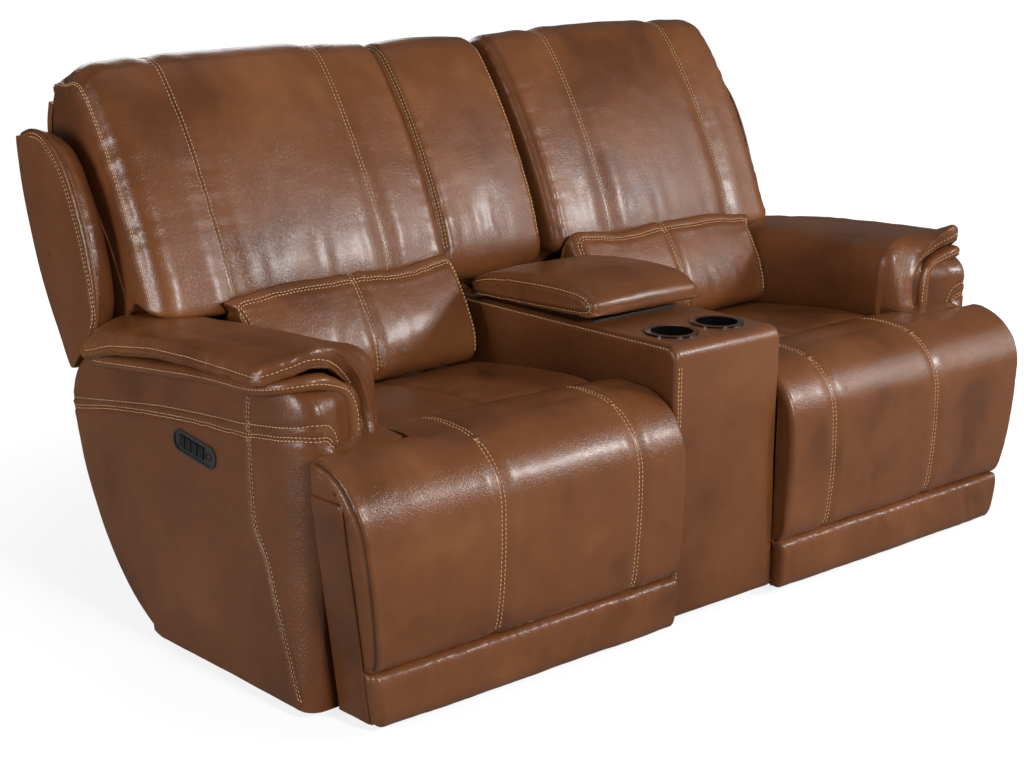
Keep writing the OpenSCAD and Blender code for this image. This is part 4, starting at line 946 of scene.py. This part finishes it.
def makeArmPad(side, s):
    section = spaced(eased(padSection), 6)
    lip = int(np.argmin(np.abs(section[:, 1] - 7) + (section[:, 0] < 990) * 1e3))
    foot = spaced(eased(padFoot), 1)
    foot = foot[np.linspace(0, len(foot) - 1, lip + 1).round().astype(int)]
    edge = spaced(eased(armLines["lip"]), 1)
    outward = np.clip((section[:, 0] - 925) / 66, 0, 1)
    low = np.clip((-section[:, 1] - 60) / 41, 0, 1)
    rows = []
    for y in np.linspace(armPad["rear"], armPad["front"], armPad["rows"]):
        drop = low * armPad["innerDrop"] * min(1.0, (armPad["rear"] - y) / 200)
        z = armTop(y) + section[:, 1] + outward * np.interp(y, *lipRise) - drop
        rows.append(np.column_stack([section[:, 0], np.full(len(section), y), z]))
    rear = rows[0].copy()
    rear[:, 1] += 5
    rear[:, 2] = armTop(armPad["rear"] + 5) + (rear[:, 2] - armTop(armPad["rear"])) * 0.8
    rows.insert(0, rear)
    start = rows[-1].copy()
    edge[0] = start[lip]
    tuck = section[lip:] - section[lip]
    blend = np.clip((np.arange(lip + 1) / lip - 0.42) / 0.58, 0, 1)
    blend = blend ** 2 * (3 - 2 * blend) * 0.6 + 0.4 * blend ** 3
    share = np.clip((start[:lip + 1, 2] - 500) / 140, 0.03, 1)[:, None]
    over = start[:lip + 1]  # each point goes over the front and down to the foot along a Bezier curve
    toe = np.column_stack([foot, np.minimum(500.0, over[:, 2])])
    pull = over + np.column_stack([np.zeros(lip + 1), (foot[:, 1] - armPad["front"]) * 0.85,
                                   np.full(lip + 1, 5.0)]) * share
    settle = toe + np.array([0, 0, 105.0]) * share
    for t in np.linspace(0, 1, armPad["turns"])[1:]:
        r = 1 - t
        body = r ** 3 * over + 3 * r ** 2 * t * pull + 3 * r * t * t * settle + t ** 3 * toe
        here = edge[min(len(edge) - 1, int(round(t * (len(edge) - 1))))]
        body = body + blend[:, None] * (here - body[-1])
        inward = np.array([850.0, 300.0]) - here[:2]
        inward /= np.linalg.norm(inward)
        puff = np.exp(-((np.arange(lip + 1) / lip - 0.84) / 0.12) ** 2)
        puff = puff * np.interp(t, [0, 0.3, 0.6, 1], [0, 1, 1, 0.4])
        lift = np.interp(t, [0, 0.3, 0.55, 0.8], [14, 15, 10, 0])
        body = body + puff[:, None] * np.array([*(-armPad["puff"] * inward), lift])
        tuckDown = tuck[:, 1] * np.interp(t, [0.0, 0.5, 0.7], [1.0, 0.8, 0.1])
        under = here + np.column_stack([-tuck[:, 0, None] * inward, tuckDown])
        rows.append(np.vstack([body, under[1:]]))
    last = rows[-1]
    for back, drop in ((4, -4), (10, -6), (20, -3)):  # the front edge rolls under
        row = last.copy()
        row[:, 1] += back
        row[:, 2] += drop
        rows.append(row)
    v = np.array(rows)
    skin = mirrored({"v": v.reshape(-1, 3), "f": gridFaces(len(rows), len(section), False)[:, ::-1]}, s)
    n = normalsOf(skin)
    if n[len(section) * 40 + 20, 2] < 0:
        skin["f"] = skin["f"][:, ::-1]
    soften(skin, amount=1.5, scale=120, fine=0.4, seed=8)
    grid = skin["v"].reshape(len(rows), len(section), 3)
    sew(skin, spaced(eased(spaced(grid[2:-4, lip - 1], 12), 4), 5), depth=1.0, width=5, pucker=2.2, pitch=12,
        rows=(1.5 * s,), seed=2, reach=24, puff=0.5, dark=0.3)
    for y in (170, 320, 480, 640):
        crinkle(skin, np.array([s * 950, y, 650]), size=(70, 80, 50), amount=1.4, direction=(0.3, 1, 0),
                pitch=26, seed=y)
    crinkle(skin, np.array([s * 865, 165, 640]), size=(60, 50, 60), amount=2.0, direction=(0.7, 0.3, 1),
            pitch=14, seed=3)
    makePiece(f"{side}_arm_top", skin, hide, "base", replace=[f"{side}_arm_pad"])
    welt = tube(spaced(eased(spaced(grid[2:-4, lip + 1], 14), 6), 5), armPad["welt"])
    makePiece(f"{side}_arm_welt", welt, weltHide, "base")
    # the roll under the lip, stitched along its middle
    path = spaced(eased(armLines["rim"]), 6)
    t = np.gradient(path, axis=0)
    t /= np.linalg.norm(t, axis=1)[:, None]
    out = np.column_stack([(path[:, 0] - 880) / 100 ** 2, np.minimum(path[:, 1] - 274, 0) / 140 ** 2,
                           np.zeros(len(path))])
    out /= np.linalg.norm(out, axis=1)[:, None]
    rise = np.cross(t, out)
    rise /= np.linalg.norm(rise, axis=1)[:, None]
    shape = np.array([(-26, -16), (-12, -15), (-4, -12), (1, -7), (3, 0), (2, 6), (-3, 11), (-12, 14),
                      (-26, 14)], float)
    v = path[:, None] + out[:, None] * shape[None, :, :1] + rise[:, None] * shape[None, :, 1:]
    skin = mirrored({"v": v.reshape(-1, 3), "f": gridFaces(len(path), len(shape), False)}, s)
    n = normalsOf(skin)
    if n[len(shape) * 30 + 4, 0] * s < 0:
        skin["f"] = skin["f"][:, ::-1]
    soften(skin, amount=0.8, scale=60, fine=0.4, seed=4)
    grid = skin["v"].reshape(len(path), len(shape), 3)
    sew(skin, grid[2:-2, 4].copy(), depth=0.8, width=4, pucker=0.6, pitch=20, rows=(0.0,), seed=4, puff=0.0,
        dark=0.3)
    makePiece(f"{side}_arm_under", skin, hide, "base")


for side, s in sides:
    makeArm(side, s)
    makeArmPad(side, s)
print("arms made")


# wings and the outer back
wing = {"inner": 902.5, "outer": 969.5, "ends": (58, 13), "fill": (862.0, 903.0), "welt": 3.4}


def makeWing(side, s):
    front = eased([(26, 722), (-20, 712), (-58, 690), (-90, 655), (-108, 606), (-113, 555), (-111, 500),
                   (-103, 440), (-88, 378), (-66, 325), (-40, 292), (-5, 272), (30, 262)])
    rear = eased([(62, 252), (96, 243), (103, 262), (104, 310), (106, 400), (101, 478), (86, 565), (66, 640),
                  (40, 708), (32, 725)])
    outline = upBack(loop(rear, front))
    local = backLocal(outline)
    weight = np.clip((60 - local[:, 0]) / 90, 0.14, 1)
    skin = mirrored(loft(outline, upBack([(30, 330), (44, 470), (22, 640)]), wing["inner"], wing["outer"],
                         ends=wing["ends"], crown=0.0, weight=weight, step=6.0, bulge=2.0, capRows=20), s)
    soften(skin, amount=1.2, scale=140, fine=0.3, seed=5)
    tree = BVHTree.FromPolygons([Vector(p) for p in skin["v"]], skin["f"].tolist())
    row = upBack(eased([(-18, 706), (-40, 694), (-66, 661), (-84, 613), (-91, 550), (-89, 490), (-80, 420),
                        (-65, 358), (-45, 300), (-20, 280)]))
    line = np.array([tree.find_nearest(Vector((s * 975, y, z)))[0] for y, z in spaced(row, 6)])
    sew(skin, line, depth=1.6, width=7, pucker=0.8, pitch=26, rows=doubleRow, seed=s)
    for u0 in (330, 450, 570, 660):
        spot = upBack([(-100, u0)])[0]
        crinkle(skin, np.array([s * 940, spot[0], spot[1]]), size=(40, 40, 60), amount=1.6,
                direction=(0.2, 0.5, 1), pitch=18, seed=u0)
    makePiece(f"{side}_wing", skin, shellHide, f"{side}_back")
    edge = upBack(front)
    between = upBack(loop([(-70, 300), (-30, 262), (30, 262), (40, 480), (20, 690), (-20, 690), (-60, 560),
                           (-74, 430)], step=9.0))
    fill = loft(between, upBack([(-20, 320), (-10, 640)]), *wing["fill"], ends=(0, 0), crown=0.0, weight=1.0,
                step=12.0, bulge=0.0, capRows=3)
    makePiece(f"{side}_wing_fill", mirrored(fill, s), weltHide, f"{side}_back")
    welt = tube(spaced([[s * 962, y, z] for y, z in spaced(edge, 6)], 6), wing["welt"])
    makePiece(f"{side}_wing_welt", welt, weltHide, f"{side}_back")


outerBack = {"thick": 18.0, "inner": 162.0, "middle": 744.0, "outer": 897.0, "seams": (176, 730)}


def makeOuterBack(side, s):
    spine = eased([(87, 62), (90, 250), (95, 370), (93, 472), (69, 598), (43, 672), (16, 732), (-16, 768)],
                  10)
    t = np.gradient(spine, axis=0)
    t /= np.linalg.norm(t, axis=1)[:, None]
    n = np.column_stack([t[:, 1], -t[:, 0]])
    h = outerBack["thick"] / 2
    full = upBack(loop(spine + n * h, (spine - n * h)[::-1]))
    above = spine[:, 1] > 215
    part = upBack(loop(spine[above] + n[above] * h, (spine[above] - n[above] * h)[::-1]))
    b = outerBack
    for label, o, line, x0, x1 in (("middle", full, upBack(spine[2:-2]), b["inner"], b["middle"]),
                                   ("end", part, upBack(spine[above][2:-2]), b["middle"], b["outer"])):
        skin = mirrored(loft(o, line, x0, x1, ends=(7 if label == "middle" else 0, 0), crown=0.0, weight=1.0,
                             step=12.0, bulge=0.0, capRows=3), s)
        soften(skin, amount=1.4, scale=200, fine=0.3, seed=4)
        if label == "middle":
            for x in b["seams"]:
                sewAlong(skin, s, x, upBack([(96, 64)])[0], upBack([(4, 764)])[0], depth=2.0, width=9,
                         pucker=0.7, pitch=40, rows=doubleRow)
        makePiece(f"{side}_outer_back_{label}", skin, shellHide, f"{side}_back",
                  replace=[f"{side}_back_shell"])
    # skirt that hides the mechanism
    o = loop(upBack([(86, 76)]), [(810, 204), (808, 200), (803, 200), (802, 204)], upBack([(80, 76)]))
    skin = mirrored(loft(o, [(806, 215), (812, 350)], 164.0, 741.0, ends=(4, 4), crown=0.0, weight=1.0,
                         step=10.0, bulge=0.0, capRows=3), s)
    soften(skin, amount=1.6, scale=150, fine=0.4, seed=2)
    makePiece(f"{side}_back_skirt", skin, shellHide, f"{side}_back")


for side, s in sides:
    makeWing(side, s)
    makeOuterBack(side, s)
print("wings and outer backs made")


# console: its back cushion, box and lid
consoleBack = {"half": 154.0, "seam": 139.0}


def makeConsoleBack():
    outline = upBack(loop([(boards["back"], 236), (boards["back"], 775)],
            swept((boards["back"], 779), (-36, 834), (-128, 838), (-161, 765)),
            swept((-161, 765), (-192, 640), (-190, 440), (-158, 306)),
            swept((-158, 306), (-148, 262), (-126, 238), (-98, 236), 10)))
    local = backLocal(outline)
    weight = np.clip((-local[:, 0] - 40) / 30, 0, 1)
    skin = loft(outline, upBack([(-85, 320), (-90, 560), (-98, 735)]), -consoleBack["half"],
                consoleBack["half"], ends=(32, 32), crown=12.0, weight=weight, step=6.0, bulge=0.5,
                capRows=9)
    soften(skin, amount=2.0, scale=130, fine=0.5, seed=6)
    front, over = upBack([(-158, 290)])[0], upBack([(-40, 780)])[0]
    for s in (-1, 1):
        sew(skin, seamAlong(skin, s * consoleBack["seam"], over, front), depth=2.6, width=8, pucker=1.4,
            pitch=16, rows=doubleRow, seed=s, reach=24)
    low = upBack([(-165, 320)])[0]
    crinkle(skin, np.array([0, low[0], low[1]]), size=(110, 60, 60), amount=1.4, direction=(1, 0.1, 0),
            pitch=22, seed=3)
    makePiece("console_back", skin, hide, "base", replace=["console_back_cushion"])


console = {"front": 9.0, "rear": 699.0, "low": 21.0, "top": 584.0, "half": 155.0,
           "cups": (66.5, 108, 46.2, 519), "bin": (110.3, 284.6, 615.4, 430), "cornerRows": (-147, -139.5)}
# cups: across, back, radius and floor; bin: half width, front, rear and floor


def cutOut(name, piece, x0, x1, y0, y1, z0, z1, round=False):
    middle = toRow([(x0 + x1) / 2, (y0 + y1) / 2, (z0 + z1) / 2])
    if round:
        bpy.ops.mesh.primitive_cylinder_add(vertices=64, radius=(x1 - x0) / 2000, depth=(z1 - z0) / 1000,
                                            location=middle)
    else:
        bpy.ops.mesh.primitive_cube_add(size=1, location=middle)
        bpy.context.object.scale = ((x1 - x0) / 1000, (y1 - y0) / 1000, (z1 - z0) / 1000)
    cutter = bpy.context.object
    bpy.context.view_layer.update()
    m = piece.modifiers.new(name, "BOOLEAN")
    m.operation, m.solver, m.object = "DIFFERENCE", "EXACT", cutter
    shape = bpy.data.meshes.new_from_object(piece.evaluated_get(bpy.context.evaluated_depsgraph_get()))
    piece.modifiers.clear()
    piece.data = shape
    bpy.data.objects.remove(cutter)


def makeConsole():
    c = console
    outline = loop(arcLine((c["front"] + 6, c["low"] + 6), 6, 180, 270, 5),
                   arcLine((c["rear"] - 6, c["low"] + 6), 6, 270, 360, 5),
                   arcLine((c["rear"] - 20, c["top"] - 20), 20, 0, 90, 8),
                   arcLine((c["front"] + 26, c["top"] - 26), 26, 90, 180, 10), step=7.0)
    skin = loft(outline, [(200, 300), (560, 300)], -c["half"], c["half"], ends=(14, 14), crown=0.0,
                weight=np.where(outline[:, 1] < 30, 0.2, 1.0), step=7.0, bulge=0.5, capRows=34)
    soften(skin, amount=1.0, scale=160, fine=0.3, seed=3)
    sew(skin, seamAlong(skin, -150.5, (690, 583), (30, 570)), depth=0.8, width=5, pucker=0.5, pitch=40,
        rows=(5.5,), seed=1, puff=0.3)
    tree = BVHTree.FromPolygons([Vector(p) for p in skin["v"]], skin["f"].tolist())
    for x in c["cornerRows"]:  # down the front's left corner
        line = np.array([tree.find_nearest(Vector((x, 6, z)))[0] for z in np.arange(50, 550, 6.0)])
        skin["threads"].append((line, (0.0,)))
    piece = makePiece("console_box", skin, shellHide, "base",
                      replace=["console_cover"])
    x, y, r, floor = c["cups"]
    for s in (-1, 1):
        cutOut("cup", piece, s * x - r, s * x + r, y - r, y + r, floor, 600, True)
    half, y0, y1, floor = c["bin"]
    cutOut("bin", piece, -half, half, y0, y1, floor, 600)
    piece.data.polygons.foreach_set("use_smooth", [True] * len(piece.data.polygons))


lid = {"half": 156.5, "front": -403.0, "slope": 2.0, "hinge": (640, 592)}


def makeLid():  # a thick pad whose sides wrap down past the board
    y1 = lid["front"]
    local = loop([(y1 + 12, -5.5), (-14, -4)], eased([(-14, -4), (-9, 6), (-9, 22), (-18, 38)]),
                 eased([(-18, 38), (-70, 55), (-160, 64), (-250, 66), (-320, 63), (y1 + 42, 55),
                        (y1 + 20, 44)]),
                 eased([(y1 + 20, 44), (y1 + 6, 32), (y1, 18), (y1 + 1, 6), (y1 + 5, -2), (y1 + 12, -5.5)]),
                 step=5.0)
    a = math.radians(lid["slope"])
    back, up = lid["hinge"]

    def rot(y, z):  # from the hinge's own directions
        return back + y * math.cos(a) + z * math.sin(a), up - y * math.sin(a) + z * math.cos(a)
    outline = np.column_stack(rot(local[:, 0], local[:, 1]))
    weight = np.where(local[:, 1] < 2, 0.15, np.where(local[:, 1] < 30, 0.7, 1.0))
    skin = loft(outline, [rot(-340, 12), rot(-40, 12)], -lid["half"], lid["half"], ends=(22, 22), crown=6.0,
                weight=weight, step=5.0, bulge=1.5, capRows=8)
    soften(skin, amount=1.6, scale=100, fine=0.5, seed=2)
    tree = BVHTree.FromPolygons([Vector(p) for p in skin["v"]], skin["f"].tolist())
    panel = eased([(-26, 33), (-120, 44), (-250, 46), (-340, 42), (-374, 34), (-389, 20), (-378, 5),
                   (-300, 2), (-26, 1)])
    for s in (-1, 1):
        line = np.array([tree.find_nearest(Vector((s * 160, *rot(y, z))))[0] for y, z in spaced(panel, 6)])
        sew(skin, line, depth=1.6, width=5, pucker=0.8, pitch=14, rows=(0.0,), seed=3 + s, puff=0.9,
            reach=18)
    for x, y in ((-80, -120), (70, -200), (-60, -300), (90, -330)):
        crinkle(skin, np.array([x, *rot(y, 60)]), size=(60, 60, 30), amount=1.2, direction=(1, 0.5, 0),
                pitch=24, seed=x)
    makePiece("lid_top", skin, hide, "lid", replace=["lid_pad"])


makeConsoleBack()
makeConsole()
makeLid()
print("console made")


# threads, one piece for each body, or for each leather of the seat and foot
for key, (vs, fs, count) in threadMeshes.items():
    skin = {"v": np.concatenate(vs), "f": np.concatenate(fs)}
    if key[0] in bends:
        part, side = key
        makePiece(f"{side}_{part}_thread", skin, threadFinish, between=bends[part](side, dict(sides)[side]),
                  threads=False)
    else:
        makePiece(f"{key[0]}_thread", skin, threadFinish, key[0], threads=False)
print("threads laid")

# the CAD nodes that stay
slotOf = {p["node"]: p["material_slot"] for p in frame["record"]["subparts"]}
edgeRound = {"width": 0.0008, "segments": 2, "angle": 35}
for name, node in frame["nodes"].items():
    if node.hide_render:
        continue
    finish = finishes.get(slotOf[name], shellHide)
    if name == "seat_springs":
        finish = springFinish
    if name.endswith(("_arm_frame", "_footrest_frame")) or name == "console_back_frame":
        finish = shellHide  # boards wrapped in the cover
    if name == "lid_board":
        finish = finishes["dark_plastic"]
    if not node.material_slots:
        node.data.materials.append(finish)
    for holder in node.material_slots:
        holder.material = finish
    if slotOf[name] in ("black_plastic", "panel_trim", "dark_plastic", "steel"):
        m = node.modifiers.new("edge", "BEVEL")
        m.width, m.segments = edgeRound["width"], edgeRound["segments"]
        m.limit_method, m.angle_limit = "ANGLE", math.radians(edgeRound["angle"])

# raised marks on the buttons
panelSpot = {"back": 459.0, "up": 438.0, "slant": 7.0, "face": 973.35, "first": 41.0, "pitch": 21.0}
# a bent arrow: its arc's radius and half sweep, its head's half length and slant, and the lines' radii
mark = {"radius": 5.2, "sweep": 0.9, "headHalf": 2.2, "headSlant": 2.3, "line": 0.75, "headLine": 0.7,
        "above": 0.1, "turns": (20, 200, 110, 290)}


def panelPoint(s, u, w, out):
    a = math.radians(panelSpot["slant"])
    return (s * (panelSpot["face"] + out), panelSpot["back"] + u * math.cos(a) - w * math.sin(a),
            panelSpot["up"] + u * math.sin(a) + w * math.cos(a))


for side, s in sides:
    for k in range(1, 5):
        u0 = panelSpot["first"] - panelSpot["pitch"] * (k - 1)
        turn = math.radians(mark["turns"][k - 1])
        bend = [(mark["radius"] * math.cos(turn + a), mark["radius"] * math.sin(turn + a))
                for a in np.linspace(-mark["sweep"], mark["sweep"], 12)]
        skin = tube([panelPoint(s, u0 + u, w, mark["above"]) for u, w in bend], mark["line"], 8)
        tip = bend[-1]
        slant = turn + mark["headSlant"]
        head = [(tip[0] + d * math.cos(slant), tip[1] + d * math.sin(slant))
                for d in np.linspace(-mark["headHalf"], mark["headHalf"], 6)]
        head = tube([panelPoint(s, u0 + u, w, mark["above"]) for u, w in head], mark["headLine"], 8)
        v = np.vstack([skin["v"], head["v"]])
        f = np.vstack([skin["f"], head["f"] + len(skin["v"])])
        makePiece(f"{side}_button_mark_{k}", {"v": v, "f": f}, iconFinish, f"{side}_button_{k}")

# floor, light and camera
studio = {  # each light's place, target, width, height and power
    "key": ((-0.9, -5.2, 2.7), (-0.3, 0, 0.6), 0.9, 0.9, 180.0),
    "sideKey": ((3.5, -4.1, 2.9), (0.1, 0, 0.6), 0.8, 0.8, 125.0),
    "rightSoft": ((4.8, -3.0, 2.4), (0, 0, 0.6), 2.6, 2.6, 40.0),
    "leftStrip": ((-4.6, 0.3, 1.2), (-0.9, -0.2, 0.6), 0.7, 1.6, 75.0),
    "behind": ((1.6, 4.4, 2.4), (0, 0, 0.6), 2.6, 1.4, 36.0),
    "topSoft": ((0.0, 0.2, 4.4), (0, 0, 0.5), 3.4, 2.2, 8.0),
}
surround = {"world": 0.1, "half": 30.0, "tone": 0.3, "near": 1.1, "far": 2.2, "nearGlow": 0.82}


def makeFloor():
    size, tone = surround["half"], surround["tone"]
    mesh = bpy.data.meshes.new("floor")
    corners = [(-size, -size, 0), (size, -size, 0), (size, size, 0), (-size, size, 0)]
    mesh.from_pydata(corners, [], [(0, 1, 2, 3)])
    floor = bpy.data.objects.new("floor", mesh)
    bpy.context.scene.collection.objects.link(floor)
    m, nodes, links = newMaterial("paleFloor")
    out = addNode(nodes, "OutputMaterial", (600, 0))
    dull = addNode(nodes, "BsdfDiffuse", (0, 100))
    dull.inputs["Color"].default_value = (tone, tone, tone, 1)
    rays = addNode(nodes, "LightPath", (-600, 300))
    place = addNode(nodes, "TexCoord", (-600, -100))
    far = addNode(nodes, "VectorMath", (-400, -100))
    far.operation = "LENGTH"
    links.new(place.outputs["Object"], far.inputs[0])
    rise = addNode(nodes, "MapRange", (-200, -100), From_Min=surround["near"], From_Max=surround["far"],
                   To_Min=surround["nearGlow"], To_Max=1.0)
    links.new(far.outputs["Value"], rise.inputs["Value"])
    share = addNode(nodes, "Math", (-200, 200))
    share.operation = "MULTIPLY"
    links.new(rays.outputs["Is Camera Ray"], share.inputs[0])
    links.new(rise.outputs["Result"], share.inputs[1])
    glow = addNode(nodes, "Emission", (100, -100))
    links.new(share.outputs[0], glow.inputs["Strength"])
    both = addNode(nodes, "AddShader", (300, 0))
    links.new(dull.outputs["BSDF"], both.inputs[0])
    links.new(glow.outputs["Emission"], both.inputs[1])
    links.new(both.outputs["Shader"], out.inputs["Surface"])
    mesh.materials.append(m)


def softLight(name, place, target, width, height, power):
    data = bpy.data.lights.new(name, "AREA")
    data.shape, data.size, data.size_y, data.energy = "RECTANGLE", width, height, power
    lamp = bpy.data.objects.new(name, data)
    bpy.context.scene.collection.objects.link(lamp)
    lamp.location = place
    lamp.rotation_euler = (Vector(target) - Vector(place)).to_track_quat("-Z", "Y").to_euler()


def makeWorld():  # dim for the object, white for the camera
    world = bpy.data.worlds.new("studio")
    bpy.context.scene.world = world
    world.use_nodes = True
    nodes, links = world.node_tree.nodes, world.node_tree.links
    nodes.clear()
    out = addNode(nodes, "OutputWorld", (600, 0))
    sky = addNode(nodes, "Background", (100, 100), Color=(1, 1, 1, 1), Strength=surround["world"])
    white = addNode(nodes, "Background", (100, -100), Color=(1, 1, 1, 1), Strength=1.0)
    rays = addNode(nodes, "LightPath", (100, 400))
    pick = addNode(nodes, "MixShader", (400, 0))
    links.new(rays.outputs["Is Camera Ray"], pick.inputs["Fac"])
    links.new(sky.outputs[0], pick.inputs[1])
    links.new(white.outputs[0], pick.inputs[2])
    links.new(pick.outputs[0], out.inputs["Surface"])


makeFloor()
for name, setting in studio.items():
    softLight(name, *setting)
makeWorld()

shot = {"place": (-2.913, -3.106929, 1.510), "yaw": 41.94, "pitch": 14.85, "roll": 0.38, "focal": 2001.0,
        "width": 1024}
yaw, pitch, roll = (math.radians(shot[k]) for k in ("yaw", "pitch", "roll"))
ahead = Vector((math.sin(yaw) * math.cos(pitch), math.cos(yaw) * math.cos(pitch), -math.sin(pitch)))
right = Vector((math.cos(yaw), -math.sin(yaw), 0))
up = right.cross(ahead)
right, up = right * math.cos(roll) + up * math.sin(roll), up * math.cos(roll) - right * math.sin(roll)
camData = bpy.data.cameras.new("photo")
camData.sensor_width, camData.lens = 36.0, shot["focal"] / shot["width"] * 36
camera = bpy.data.objects.new("photo", camData)
bpy.context.scene.collection.objects.link(camera)
turned = [(right[k], up[k], -ahead[k], shot["place"][k]) for k in range(3)]
camera.matrix_world = Matrix(turned + [(0, 0, 0, 1)])
camData.clip_end = 100
bpy.context.scene.camera = camera
bpy.context.scene.view_settings.view_transform = "Standard"

bpy.context.view_layer.update()
